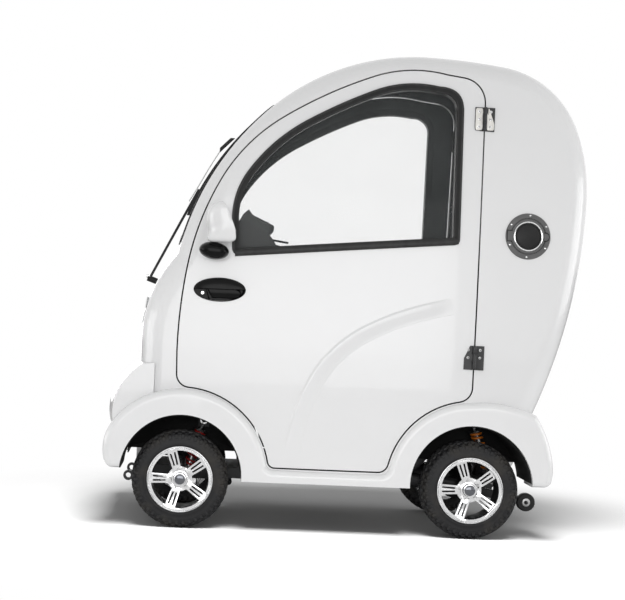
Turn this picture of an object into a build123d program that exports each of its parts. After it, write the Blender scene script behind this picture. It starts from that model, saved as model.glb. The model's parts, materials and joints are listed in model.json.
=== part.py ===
"""Enclosed mobility scooter: a one-person cabin on four wheels, with rear-hinged side doors.

Millimetres. +X is forward, +Y is the vehicle's left side, +Z is up. The origin is on the ground
under the middle of the bounding box.
"""

from build123d import *
import math
import os

os.makedirs("parts", exist_ok=True)

# Running gear
wheelbase = 985.0
front_axle_x = 559.0
rear_axle_x = front_axle_x - wheelbase
tyre_radius = 165.0
tyre_width = 100.0
rim_radius = 112.0
wheel_y = 300.0             # middle plane of each wheel
arch_radius = 208.0
arch_z = 178.0
pin_gap = 0.08              # radial clearance of a pin in its bore
fit_gap = 0.3               # air between faces that only lie against each other

# Cabin
wall = 24.0                 # whole thickness of a body wall or a door
edge_round = 90.0           # outer radius between a side and the roof, nose or tail
sill_z = 168.0
side_radius = 5000.0        # bow of the side in plan
form_reach = 1300.0
crown_half = 400.0          # half width at which the crown figures below hold
door_gap = 5.0
glass_thick = 4.0
glass_depth = 9.0           # from the outer skin to the outer face of the glass
rubber_proud = 4.0

# Centre outline from the cowl over the roof to the tail. Columns: x from the front axle, z,
# and how far the point lies back and down at crown_half from the centre line.
outline = [
    (47.0, 935.0, -24.0, 0.0),
    (-244.0, 1442.0, -14.0, -10.0),
    (-800.0, 1654.0, 0.0, -16.0),
    (-1073.0, 1632.0, 4.0, -16.0),
    (-1214.0, 1578.0, 10.0, -14.0),
    (-1342.0, 1418.0, 18.0, -10.0),
    (-1384.0, 1180.0, 26.0, 0.0),
    (-1215.0, 422.0, 26.0, 0.0),
]
screen_rake = 12.4          # degrees back from upright at the windscreen's foot
nose_x = 163.0              # flat of the nose, from the front axle
nose_top_z = 640.0
nose_crown = -30.0
bonnet_top = (57.0, 923.0, -26.0)   # x from the front axle, z, crown
tail_lean = 0.40            # forward lean of the tail below the outline

# Half width of the side at its middle. Columns: z, half width.
side_table = [(90.0, 352.0), (600.0, 366.0), (1100.0, 352.0), (1750.0, 304.0)]

# Left door seam over the top, from the front foot: x from the front axle, z.
seam_front = (27.0, 600.0)
seam_arcs = [(2.0, 895.0), (-100.0, 1190.0), (-302.0, 1408.0), (-611.0, 1562.0), (-860.0, 1578.0)]
seam_rear = [(-994.0, 1560.0), (-979.0, 560.0)]
seam_corners = (85.0, 50.0, 35.0, 25.0, 45.0)   # radii from the top rear corner, clockwise seen from the left
front_seam_radius = 300.0   # of the seam round each wheel arch
rear_seam_radius = 290.0
door_foot_z = 216.0

# Side window, outer edge of its rubber: x from the front axle, z.
window_front = (-142.0, 1060.0)
window_arcs = [(-190.0, 1221.0), (-383.0, 1401.0), (-612.0, 1514.0), (-832.0, 1536.0)]
window_feet = [(-920.0, 1533.0), (-918.0, 999.0), (-148.0, 930.0)]
window_corners = (80.0, 16.0, 24.0)
rubber_lap = 12.0           # rubber on each side of the window's cut edge
screen_foot_z = 975.0
screen_top_z = 1470.0

# Band of the sill and the four fenders
flare_y = 372.0
flare_inner_y = 235.0
flare_wall = 14.0
flare_round = 24.0
tip_round = 28.0            # of the fenders' lower tips, more than flare_round
front_flare_radius = front_seam_radius - door_gap
rear_flare_radius = rear_seam_radius - door_gap
sill_top_z = door_foot_z - door_gap

# Steering
kingpin_y = 262.0
kingpin_radius = 8.0
knuckle_top_z = 212.0
knuckle_foot_z = 118.0
arm_reach = 60.0            # steering arms, straight back so that the tie rod moves parallel
axle_radius = 10.0
tiller_foot = (549.0, 240.0)        # x, z of the column's lower bearing
tiller_head = (359.0, 1040.0)


def save(piece, name):
    piece.label = name
    export_step(piece, "parts/" + name + ".step")


def shifted(point, tangent, inset):
    """The point moved to the left of its direction of travel, which is into the cabin."""
    return (point.X - tangent.Y * inset, point.Y + tangent.X * inset)


def cabin_section(y, inset):
    """Side outline of the cabin at one distance from the centre line."""
    share = (y / crown_half) ** 2
    floor_z = sill_z - (100.0 if inset > 0 else 0.0)
    points = [(front_axle_x + x + dx * share, z + dz * share) for x, z, dx, dz in outline]
    nose = front_axle_x + nose_x + nose_crown * share
    cowl = (front_axle_x + bonnet_top[0] + bonnet_top[2] * share, bonnet_top[1])
    rake = math.radians(screen_rake)
    with BuildLine(mode=Mode.PRIVATE):
        bonnet = TangentArc((nose, nose_top_z), cowl, tangent=(0, 1))
        cowl_at = shifted(bonnet @ 1, bonnet % 1, inset)
        tangent = Vector(-math.sin(rake), math.cos(rake))
        moved = [shifted(Vector(*points[0]), tangent, inset)]
        tangents = [tangent]
        for here, there in zip(points, points[1:]):
            arc = TangentArc(here, there, tangent=(tangent.X, tangent.Y))
            tangent = arc % 1
            tangents.append(tangent)
            moved.append(shifted(arc @ 1, tangent, inset))
    with BuildSketch(Plane.XZ.offset(-y)) as section:
        with BuildLine():
            Line((nose - inset, floor_z), (nose - inset, nose_top_z))
            TangentArc((nose - inset, nose_top_z), cowl_at, tangent=(0, 1))
            Line(cowl_at, moved[0])
            for here, there, start in zip(moved, moved[1:], tangents):
                TangentArc(here, there, tangent=(start.X, start.Y))
            foot = (moved[-1][0] + (moved[-1][1] - floor_z) * tail_lean, floor_z)
            Line(moved[-1], foot)
            Line(foot, (nose - inset, floor_z))
        make_face()
    return section.sketch


def profile_form(inset):
    """The crowned side outline carried across the whole width."""
    return loft([cabin_section(y, inset) for y in (-crown_half, 0, crown_half)])


side_forms = {}


def side_form(inset):
    """Everything between the two bowed sides, worked out once for each inset."""
    if inset in side_forms:
        return side_forms[inset]
    bow = side_radius - math.sqrt(side_radius**2 - form_reach**2)
    with BuildPart() as sides:
        for z, full_half in side_table:
            half = full_half - inset
            with BuildSketch(Plane.XY.offset(z)):
                with BuildLine():
                    ThreePointArc((-form_reach, half - bow), (0, half), (form_reach, half - bow))
                    Line((form_reach, half - bow), (form_reach, bow - half))
                    ThreePointArc((form_reach, bow - half), (0, -half), (-form_reach, bow - half))
                    Line((-form_reach, bow - half), (-form_reach, half - bow))
                make_face()
        loft()
    side_forms[inset] = sides.part
    return sides.part


def cabin_form(inset):
    """Closed cabin shape, its skin moved in by inset: crowned outline, bowed sides, round edges."""
    with BuildPart() as form:
        add(profile_form(inset))
        add(side_form(inset), mode=Mode.INTERSECT)
        rims = [e for e in form.edges() if abs(e.center().Y) > 200 and e.center().Z > sill_z + 20]
        fillet(rims, edge_round - inset)
    return form.part


def side_skin(near, far):
    """Layer of the two sides between two depths under the outer skin."""
    return side_form(near) - side_form(far)


def profile_skin(near, far):
    """Layer of the nose, roof and tail between two depths under the outer skin."""
    return profile_form(near) - profile_form(far)


def side_prism(sketch, near=190.0, far=520.0):
    """A sketch on the plane y = 0, carried to the left side between two distances."""
    return extrude(sketch.moved(Location((0, far, 0))), amount=far - near, dir=(0, -1, 0))


def both_sides(piece):
    return piece + mirror(piece, about=Plane.XZ)


def at(x_from_axle, z):
    return (front_axle_x + x_from_axle, z)


def on_arch(axle_x, radius, z, side):
    """Point of a circle round a wheel arch at a height, on its front (1) or rear (-1) side."""
    return (axle_x + side * math.sqrt(radius**2 - (z - arch_z) ** 2), z)


def arch_point(axle_x, radius, degrees):
    turn = math.radians(degrees)
    return (axle_x + radius * math.cos(turn), arch_z + radius * math.sin(turn))


def near_vertex(sketch, point):
    """Corner of a sketch, still in its own plane, that lies nearest to a point."""
    return sketch.vertices().sort_by_distance(Vector(*point))[0]


def door_outline(grow):
    """Door seam on the plane y = 0, moved outward by grow."""
    foot_x, top_x = seam_rear[1][0] + front_axle_x, seam_rear[0][0] + front_axle_x
    rear_foot = on_arch(rear_axle_x, rear_seam_radius, door_foot_z, 1)
    front_foot = on_arch(front_axle_x, front_seam_radius, door_foot_z, -1)
    rear_low = (foot_x, arch_z + math.sqrt(rear_seam_radius**2 - (foot_x - rear_axle_x) ** 2))
    front_low_x = front_axle_x + seam_front[0] - 3.0
    front_low = (front_low_x, arch_z + math.sqrt(front_seam_radius**2 - (front_low_x - front_axle_x) ** 2))
    with BuildSketch(Plane.XZ) as seam:
        with BuildLine():
            Line(front_low, at(*seam_front))
            here, tangent = at(*seam_front), Vector(0, 1)
            for x, z in seam_arcs:
                arc = TangentArc(here, at(x, z), tangent=(tangent.X, tangent.Y))
                here, tangent = at(x, z), arc % 1
            Line(here, (top_x, seam_rear[0][1]))
            Line((top_x, seam_rear[0][1]), rear_low)
            ThreePointArc(rear_low, arch_point(rear_axle_x, rear_seam_radius, 45), rear_foot)
            Line(rear_foot, front_foot)
            ThreePointArc(front_foot, arch_point(front_axle_x, front_seam_radius, 135), front_low)
        make_face()
        corners = [(top_x, seam_rear[0][1]), rear_low, rear_foot, front_foot, front_low]
        for corner, radius in zip(corners, seam_corners):
            fillet(near_vertex(seam.sketch_local, corner), radius)
        if grow:
            offset(amount=grow)
    return seam.sketch


def window_outline(grow):
    """Outer edge of the side window's rubber on the plane y = 0, moved outward by grow."""
    with BuildSketch(Plane.XZ) as window:
        with BuildLine():
            here, tangent = at(*window_front), Vector(0.02, 1)
            Line(at(*window_feet[2]), here)
            for x, z in window_arcs:
                arc = TangentArc(here, at(x, z), tangent=(tangent.X, tangent.Y))
                here, tangent = at(x, z), arc % 1
            Polyline(here, *[at(*foot) for foot in window_feet])
        make_face()
        for corner, radius in zip(window_feet, window_corners):
            fillet(near_vertex(window.sketch_local, at(*corner)), radius)
        if grow:
            offset(amount=grow)
    return window.sketch


def end_window(half_foot, half_top, foot_z, top_z, near_x, far_x, grow):
    """Prism along X through the windscreen or the rear window."""
    with BuildPart() as prism:
        with BuildSketch(Plane.YZ.offset(near_x)):
            with BuildLine():
                Polyline((-half_foot, foot_z), (half_foot, foot_z), (half_top, top_z), (-half_top, top_z),
                         close=True)
            make_face()
            fillet(vertices(), 45)
            if grow:
                offset(amount=grow)
        extrude(amount=far_x - near_x)
    return prism.part


def windscreen_prism(grow):
    return end_window(258, 226, screen_foot_z, screen_top_z, 250, 700, grow)


def rear_window_prism(grow):
    return end_window(200, 190, 1130, 1430, -900, -600, grow)


def arch_cutter(radius, near_y, far_y):
    """Discs round all four wheel arches, between two distances from the centre line."""
    with BuildPart() as cutter:
        for axle_x in (front_axle_x, rear_axle_x):
            with BuildSketch(Plane.XZ.offset(-far_y)):
                with Locations((axle_x, arch_z)):
                    Circle(radius)
            extrude(amount=far_y - near_y)
        mirror(about=Plane.XZ)
    return cutter.part


def ribbon(path, width):
    """Strip of one width along a path on the plane y = 0."""
    with BuildSketch(Plane.XZ) as strip:
        with BuildLine():
            Polyline(*path)
        trace(line_width=width)
    return strip.sketch


outer_form = cabin_form(0)
inner_form = cabin_form(wall)
lining_form = cabin_form(wall + fit_gap)

# Doors
door_opening = side_prism(door_outline(door_gap / 2))
door_shape = side_prism(door_outline(-door_gap / 2))
window_cut = side_prism(window_outline(-rubber_lap))
glass_lap = 0.5

handle_at = at(-110.0, 813.0)
handle_half = (88.0, 41.0)
handle_depth = 14.0


def oval_sketch(half_long, half_tall, centre):
    with BuildSketch(Plane.XZ) as shape:
        with Locations(centre):
            Ellipse(half_long, half_tall)
    return shape.sketch


def oval(half_long, half_tall, centre):
    return side_prism(oval_sketch(half_long, half_tall, centre))


handle_rim = 9.0
handle_cup = oval(*[h - 3 for h in handle_half], handle_at)
handle_mouth = oval(*[h - handle_rim for h in handle_half], handle_at)
handle_pocket = handle_cup & side_skin(-5, handle_depth)
handle_parts = [
    (oval(*handle_half, handle_at) - handle_mouth) & side_skin(-3, 0),
    (handle_cup - handle_mouth) & side_skin(-1, handle_depth),
    handle_cup & side_skin(handle_depth - 3, handle_depth),
    oval(56, 22, (handle_at[0] - 14, handle_at[1])) & side_skin(1, handle_depth - 2),
]
lip = side_prism(window_outline(0)) - side_prism(window_outline(-2 * rubber_lap))
grip = side_prism(window_outline(-rubber_lap)) - side_prism(window_outline(-2 * rubber_lap))
window_rubber = [
    lip & side_skin(-rubber_proud, 0),
    grip & side_skin(-1, glass_depth),
    grip & side_skin(glass_depth + glass_thick, wall + 1),
    lip & side_skin(wall, wall + rubber_proud),
]
side_glass = side_skin(glass_depth, glass_depth + glass_thick)
glass_edge = side_prism(window_outline(-rubber_lap - glass_lap))
side_body = side_form(0)

with BuildPart() as left_door_panel:
    add(outer_form)
    add(door_shape, mode=Mode.INTERSECT)
    add(inner_form, mode=Mode.SUBTRACT)
    add(window_cut, mode=Mode.SUBTRACT)
    add(handle_pocket, mode=Mode.SUBTRACT)

with BuildPart() as left_door_glass:
    add(side_glass)
    add(glass_edge, mode=Mode.INTERSECT)

with BuildPart() as left_window_seal:
    add(window_rubber)

with BuildPart() as left_door_handle:
    add(handle_parts)

# Door mirror: egg-shaped housing on a low foot
mirror_at = (front_axle_x - 108.0, 425.0, 1030.0)
mirror_half = (62.0, 76.0)
foot_at = (front_axle_x - 90.0, 929.0)
foot_half = (50.0, 15.0)
mirror_back = 24.0           # from the fullest section back to the flat of the glass
mirror_stalk = side_prism(ribbon([(foot_at[0], foot_at[1]), (mirror_at[0] + 14, 975)], 22), 385, 415)
mirror_foot = side_prism(oval_sketch(*foot_half, foot_at), 300, 415)
with BuildPart() as mirror_egg:
    with BuildSketch(Plane.YZ.offset(mirror_at[0] - mirror_back)):
        with Locations((mirror_at[1], mirror_at[2])):
            RectangleRounded(2 * mirror_half[0], 2 * mirror_half[1], mirror_half[0] - 6)
    extrude(amount=mirror_back + mirror_half[0])
    fillet(mirror_egg.faces().sort_by(Axis.X)[-1].edges(), mirror_half[0] - 12)
left_mirror = (mirror_egg.part + mirror_stalk + mirror_foot) - side_body

# Door hinges: leaves on the skin, barrels on one straight axis
hinge_heights = (616.0, 1430.0)
hinge_half = 41.0
hinge_leaf = 34.0
hinge_thick = 3.0
barrel_radius = 6.0
seam_top_x = seam_rear[0][0] + front_axle_x
seam_foot_x = seam_rear[1][0] + front_axle_x


def seam_x(z):
    share = (z - seam_rear[1][1]) / (seam_rear[0][1] - seam_rear[1][1])
    return seam_foot_x + share * (seam_top_x - seam_foot_x)


def side_y(x, z):
    """Half width of the outer skin at a point of the side."""
    hits = side_body.find_intersection_points(Axis((x, 0, z), (0, 1, 0)))
    return max(point.Y for point, _ in hits)


hinge_points = []
for z in hinge_heights:
    hinge_points.append(Vector(seam_x(z), side_y(seam_x(z), z) + hinge_thick + barrel_radius, z))
hinge_line = (hinge_points[1] - hinge_points[0]).normalized()
hinge_planes = [Plane(origin=point, x_dir=(1, 0, 0), z_dir=hinge_line) for point in hinge_points]
leaf_back = side_form(-fit_gap)


def hinge_part(side):
    """Leaves on the door (side 1) or on the body (side -1) with their turns of the barrel."""
    third = hinge_half / 3
    spans = [(-third, third)] if side > 0 else [(-hinge_half, -third), (third, hinge_half)]
    bore = barrel_radius / 2 + (pin_gap if side > 0 else -1.0)
    with BuildPart() as part:
        for plane in hinge_planes:
            with BuildSketch(plane.offset(-hinge_half)):
                with Locations((side * (hinge_leaf + 3) / 2, -barrel_radius - hinge_thick / 2 - 3)):
                    Rectangle(hinge_leaf - 3, hinge_thick + 6)
            extrude(amount=2 * hinge_half)
            for low, high in spans:
                with BuildSketch(plane.offset(low + 0.5)):
                    Circle(barrel_radius)
                    with Locations((side * 6, -barrel_radius - 1)):
                        Rectangle(10, 4)
                extrude(amount=high - low - 1)
    leaves = part.part - leaf_back
    with BuildPart() as pins:
        for plane in hinge_planes:
            with BuildSketch(plane.offset(-hinge_half)):
                Circle(bore if side > 0 else barrel_radius / 2)
            extrude(amount=2 * hinge_half)
    return leaves - pins.part if side > 0 else leaves + pins.part


left_door_hinges = hinge_part(1)
save(both_sides(hinge_part(-1)), "body_hinges")

for side in ("left", "right"):
    pieces = {
        "door_panel": left_door_panel.part,
        "door_glass": left_door_glass.part,
        "window_seal": left_window_seal.part,
        "door_handle": left_door_handle.part,
        "door_mirror": left_mirror,
        "door_hinges": left_door_hinges,
    }
    for name, piece in pieces.items():
        save(piece if side == "left" else mirror(piece, about=Plane.XZ), side + "_" + name)

# Body shell
arch_near_y = 146.0
arches = arch_cutter(arch_radius, arch_near_y, 420)
with BuildPart() as body_shell:
    add(outer_form)
    add(inner_form, mode=Mode.SUBTRACT)
    add(both_sides(door_opening), mode=Mode.SUBTRACT)
    add(windscreen_prism(-rubber_lap), mode=Mode.SUBTRACT)
    add(rear_window_prism(-rubber_lap), mode=Mode.SUBTRACT)
    add(arches, mode=Mode.SUBTRACT)
lamp_spots = [("headlamps", 690.0, 175.0, 735.0, 46.0), ("tail_lamps", -790.0, 160.0, 860.0, 40.0)]
lamp_depth = 12.0


def round_bar(x, y, z, radius, half_length):
    with BuildPart() as bar:
        with BuildSketch(Plane.YZ.offset(x - half_length)):
            with Locations((y, z), (-y, z)):
                Circle(radius)
        extrude(amount=2 * half_length)
    return bar.part


shell = body_shell.part
for name, x, y, z, radius in lamp_spots:
    shell = shell - (round_bar(x, y, z, radius, 90) & profile_skin(-5, lamp_depth))
    save(round_bar(x, y, z, radius - fit_gap, 90) & profile_skin(-3, lamp_depth), name)
save(shell, "body_shell")

# Windscreen, rear window and their rubber
end_glass = profile_skin(glass_depth, glass_depth + glass_thick)
save(end_glass & windscreen_prism(-rubber_lap - glass_lap), "windscreen")
save(end_glass & rear_window_prism(-rubber_lap - glass_lap), "rear_window")
seals = []
for prism in (windscreen_prism, rear_window_prism):
    end_lip = prism(0) - prism(-2 * rubber_lap)
    end_grip = prism(-rubber_lap) - prism(-2 * rubber_lap)
    seals.append((end_lip & profile_skin(-rubber_proud, 0)) + (end_grip & profile_skin(-1, glass_depth)))
    inside = (end_lip & profile_skin(wall, wall + rubber_proud) & inner_form) + (
        end_grip & profile_skin(glass_depth + glass_thick, wall + 1))
    seals.append(inside)
save(Compound(children=seals), "window_rubbers")

# Band of the sill and the fenders
with BuildSketch(Plane.XZ) as band:
    front_top = arch_point(front_axle_x, front_flare_radius, 35)
    sill_front = on_arch(front_axle_x, front_flare_radius, sill_top_z, -1)
    sill_rear = on_arch(rear_axle_x, rear_flare_radius, sill_top_z, 1)
    rear_top = arch_point(rear_axle_x, rear_flare_radius, 90)
    with BuildLine():
        Line((730, 198), (806, 198))
        Line((806, 198), (820, 225))
        ThreePointArc((820, 225), (823, 288), front_top)
        ThreePointArc(front_top, arch_point(front_axle_x, front_flare_radius, 100), sill_front)
        Line(sill_front, sill_rear)
        ThreePointArc(sill_rear, arch_point(rear_axle_x, rear_flare_radius, 45), rear_top)
        ThreePointArc(rear_top, (-540, 459), (-640, 428))
        ThreePointArc((-640, 428), (-686, 334), (-704, 236))
        Polyline((-704, 236), (-697, 186), (-600, 186), (-600, sill_z), (730, sill_z), (730, 198))
    make_face()
    fillet(near_vertex(band.sketch_local, (806, 198)), tip_round)
    fillet(near_vertex(band.sketch_local, (-697, 186)), tip_round)
    fillet(near_vertex(band.sketch_local, sill_front), 25)
    fillet(near_vertex(band.sketch_local, sill_rear), 30)
with BuildSketch(Plane.XZ) as band_core:
    add(band.sketch)
    offset(amount=-flare_wall)


def rounded_band(sketch, near, far, radius, floor):
    """The band between two distances, with its upper outer edge rounded."""
    block = side_prism(sketch, near, far)
    rim = [e for e in block.edges() if e.center().Y > far - 1 and e.bounding_box().max.Z > floor]
    return block.fillet(radius, rim)


band_solid = rounded_band(band.sketch, flare_inner_y, flare_y, flare_round, sill_z + 22)
band_hollow = side_prism(band_core.sketch, flare_inner_y - 10, flare_y - flare_wall)
left_skirt = band_solid - band_hollow - arches - outer_form
save(both_sides(left_skirt), "side_skirts")

# Front bumper between the fenders
bumper_half = 330.0
bumper_crown = -27.0
bumper_wall = 12.0
bumper_front = 825.0
bumper_back = 660.0
bumper_top = 556.0
bumper_foot = 318.0


def bumper_section(y, inset):
    """Side outline of the bumper at one distance from the centre line."""
    lean = bumper_crown * (y / bumper_half) ** 2
    front = bumper_front + lean - inset
    with BuildSketch(Plane.XZ.offset(-y)) as section:
        with BuildLine():
            Line((bumper_back, bumper_top - inset), (724 + lean, bumper_top - inset))
            ThreePointArc((724 + lean, bumper_top - inset), (front - 42, 500 - inset), (front - 5, 425))
            ThreePointArc((front - 5, 425), (front, 385), (front - 5, 345))
            Line((front - 5, 345), (798 + lean, bumper_foot + inset))
            Polyline((798 + lean, bumper_foot + inset), (bumper_back, bumper_foot + inset),
                     (bumper_back, bumper_top - inset))
        make_face()
    return section.sketch


def bumper_form(inset):
    with BuildSketch(Plane.XY.offset(250)) as plan:
        with Locations((600, 0)):
            Rectangle(520, 2 * (bumper_half - inset))
        fillet([v for v in plan.sketch.vertices() if v.X > 800], 90 - inset)
    body = loft([bumper_section(y, inset) for y in (-bumper_half - 5, 0, bumper_half + 5)])
    return body & extrude(plan.sketch, amount=400)


band_block = both_sides(side_prism(band.sketch, flare_inner_y, 420))
bumper = bumper_form(0) - bumper_form(bumper_wall) - outer_form - band_block - arch_cutter(
    front_flare_radius - flare_wall, 150, 420)
bumper = bumper.solids().sort_by(SortBy.VOLUME)[-1]
save(bumper, "front_bumper")

# Charging socket's cover on the left side, behind the door
socket_at = at(-1151.0, 1035.0)


def side_disc(radius, near, far, hole=0.0):
    with BuildSketch(Plane.XZ) as disc:
        with Locations(socket_at):
            Circle(radius)
            if hole:
                Circle(hole, mode=Mode.SUBTRACT)
    return side_prism(disc.sketch) & side_skin(near, far)


save(side_disc(76, -6, 0, 47) + side_disc(48, -9, 0, 43) + side_disc(44, -5, 0), "charge_port")

# Windscreen wiper
wiper_path = [(front_axle_x + 142.0, 851.0), (front_axle_x + 32.0, 1070.0), (front_axle_x - 24.0, 1180.0)]
with BuildPart() as wiper_arm:
    with BuildSketch(Plane.XZ.offset(-5)):
        with BuildLine():
            Polyline(*wiper_path)
        trace(line_width=9)
    extrude(amount=10)
    with BuildSketch(Plane(origin=(wiper_path[0][0] + 8, 0, 851), z_dir=(-1, 0, -0.35))):
        Circle(11)
    extrude(amount=60)
blade_foot_z = 1084.0
blade_top_z = screen_top_z - 2 * rubber_lap - 6
blade_height = blade_top_z - blade_foot_z
with BuildPart() as blade_block:
    with Locations((front_axle_x - 80, 0, blade_foot_z + blade_height / 2)):
        Box(400, 11, blade_height)
wiper = (wiper_arm.part - outer_form) + (blade_block.part & profile_skin(-15, -fit_gap))
save(wiper, "wiper")

# Chassis: two cranked side rails, round cross tubes and four spring towers
rail_near_y = 104.0
rail_far_y = 136.0
rail_depth = 36.0
rail_low_z = 168.0
rail_high_z = 262.0
rail_crank = (-215.0, -300.0)       # x where the rail starts and ends its rise
rail_ends = (688.0, -552.0)
pan_ends = (700.0, -612.0)
pan_thick = 4.0
tube_radius = 14.0
cross_tubes = [(x, rail_low_z) for x in (660.0, 300.0, -160.0)] + [(x, rail_high_z) for x in (-380.0, -532.0)]
lashing_radius = 9.0
lashing_boss = 18.0
front_eye = (745.0, 146.0)          # x, z of the lashing eye ahead of the front wheels
eye_near_y = 112.0
eye_far_y = 128.0
# Spring towers. Columns: x, foot z, top z, y of the spring's middle.
towers = [(front_axle_x - 75.0, rail_low_z, 372.0, 176.0), (rear_axle_x - 24.0, rail_high_z, 408.0, 203.0)]
tower_width = 40.0
tower_pin = 16.0            # of the spring's pin below the tower's top
pin_radius = 8.0
eye_half = 11.0             # half thickness of a damper's eye
rail_path = [(rail_ends[0], rail_low_z), (rail_crank[0], rail_low_z),
             (rail_crank[1], rail_high_z), (rail_ends[1], rail_high_z)]


def along_y(sketch, near, far):
    """A sketch on the plane y = 0 made solid between near and far, on both sides."""
    return both_sides(side_prism(sketch, near, far))


def cross_bar(x, z, radius, half_length, hole=0.0):
    """Round bar or tube lying along Y across the middle."""
    with BuildSketch(Plane.XZ.offset(-half_length)) as end:
        with Locations((x, z)):
            Circle(radius)
            if hole:
                Circle(hole, mode=Mode.SUBTRACT)
    return extrude(end.sketch, amount=2 * half_length, dir=(0, -1, 0))


def stub(x, y, z, radius, length):
    """Round pin from a point outward along +Y."""
    with BuildSketch(Plane.XZ.offset(-y)) as end:
        with Locations((x, z)):
            Circle(radius)
    return extrude(end.sketch, amount=length, dir=(0, 1, 0))


# Trailing arms of the rear axle: pivot x and z, and the two faces of an arm
arm_pivot = (-242.0, 178.0)
trail_near_y = 154.0
trail_far_y = 174.0

tiller_base = Vector(tiller_foot[0], 0, tiller_foot[1])
tiller_line = (Vector(tiller_head[0], 0, tiller_head[1]) - tiller_base).normalized()
tiller_plane = Plane(origin=tiller_base, x_dir=(0, 1, 0), z_dir=tiller_line)
column_radius = 18.0
bearing_radius = 28.0
bearing_length = 60.0

chassis = along_y(ribbon(rail_path, rail_depth), rail_near_y, rail_far_y)
for x, z in cross_tubes:
    chassis += cross_bar(x, z, tube_radius, rail_near_y + 5)
for x, foot_z, top_z, spring_y in towers:
    chassis += along_y(ribbon([(x, foot_z), (x, top_z)], tower_width), rail_near_y, rail_far_y)
    chassis += along_y(ribbon([(x, top_z - 34), (x, top_z - 2)], 26), rail_far_y - 1, rail_far_y + 14)
    pin_length = spring_y + eye_half + 3 - rail_far_y
    chassis += both_sides(stub(x, rail_far_y, top_z - tower_pin, pin_radius, pin_length))
pivot_length = trail_far_y + 8 - rail_far_y
chassis += both_sides(stub(arm_pivot[0], rail_far_y - 4, arm_pivot[1], axle_radius, pivot_length))
with BuildPart() as column_bracket:
    with BuildSketch(tiller_plane.offset(-bearing_length / 2)):
        Circle(bearing_radius)
    extrude(amount=bearing_length)
    with BuildSketch(Plane.XY.offset(rail_low_z + rail_depth / 2 - 20)):
        with Locations((tiller_foot[0] + 10, 0)):
            Rectangle(70, 2 * rail_near_y + 20)
    extrude(amount=20)
    with BuildSketch(Plane.XY.offset(rail_low_z + rail_depth / 2 - 2)):
        with Locations((tiller_foot[0] + 10, 0)):
            Rectangle(60, 30)
    extrude(amount=44)
    with BuildSketch(tiller_plane.offset(-bearing_length / 2 + 4)):
        Circle(column_radius + pin_gap)
    extrude(amount=bearing_length + 40, mode=Mode.SUBTRACT)
chassis += column_bracket.part

# Stabiliser bracket behind the rear axle
stabiliser_at = (-661.0, 150.0, 109.0)
stabiliser_radius = 32.0
stabiliser_width = 26.0
stabiliser_pin = 6.0
arm_near_y = 122.0
arm_plate = 10.0
arm_elbow = (-505.0, 138.0)
with BuildSketch(Plane.XZ) as stabiliser_arm:
    with BuildLine():
        Polyline((-500, rail_high_z - 10), arm_elbow, (stabiliser_at[0], stabiliser_at[2]))
    trace(line_width=30)
chassis += along_y(stabiliser_arm.sketch, arm_near_y, arm_near_y + arm_plate)

# Lashing eyes: lugs under the front of the rails, and bosses on the stabiliser arms
rear_eye_x = -608.0
arm_slope = (stabiliser_at[2] - arm_elbow[1]) / (stabiliser_at[0] - arm_elbow[0])
rear_eye = (rear_eye_x, arm_elbow[1] + (rear_eye_x - arm_elbow[0]) * arm_slope)
with BuildSketch(Plane.XZ) as front_lug:
    with BuildLine():
        Line((rail_ends[0] - 40, rail_low_z - rail_depth / 2), front_eye)
    trace(line_width=24)
    with Locations(front_eye):
        Circle(lashing_boss)
with BuildSketch(Plane.XZ) as rear_boss:
    with Locations(rear_eye):
        Circle(lashing_boss)
chassis += along_y(front_lug.sketch, eye_near_y, eye_far_y)
chassis += along_y(rear_boss.sketch, arm_near_y, arm_near_y + arm_plate)
chassis += both_sides(stub(stabiliser_at[0], arm_near_y + 8, stabiliser_at[2], stabiliser_pin, 38))
for x, z in (front_eye, rear_eye):
    chassis -= cross_bar(x, z, lashing_radius, rail_far_y + 5)

# Floor pan over the rails, cut to the cabin's inside
crank_turn = math.atan2(rail_high_z - rail_low_z, rail_crank[0] - rail_crank[1])
pan_lift = (rail_depth + pan_thick) / 2
pan_lead = pan_lift * math.tan(crank_turn / 2)
pan_path = [
    (pan_ends[0], rail_low_z + pan_lift), (rail_crank[0] + pan_lead, rail_low_z + pan_lift),
    (rail_crank[1] + pan_lead, rail_high_z + pan_lift), (pan_ends[1], rail_high_z + pan_lift)]
well_length = 2 * arch_radius + 12
pan = extrude(ribbon(pan_path, pan_thick).moved(Location((0, 345, 0))), amount=690, dir=(0, -1, 0))
pan = pan & lining_form
with BuildPart() as wells:
    for x in (front_axle_x, rear_axle_x):
        with BuildSketch(Plane.XY):
            with Locations((x, 290), (x, -290)):
                Rectangle(well_length, 300)
        extrude(amount=600)
    with BuildSketch(Plane.XY):
        with Locations((800, 290), (800, -290), (-700, 290), (-700, -290)):
            Rectangle(300, 300)
    extrude(amount=600)
pan = pan - wells.part - chassis
pan = pan.solids().sort_by(SortBy.VOLUME)[-1]
save(chassis, "chassis_frame")
save(pan, "floor_pan")

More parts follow.
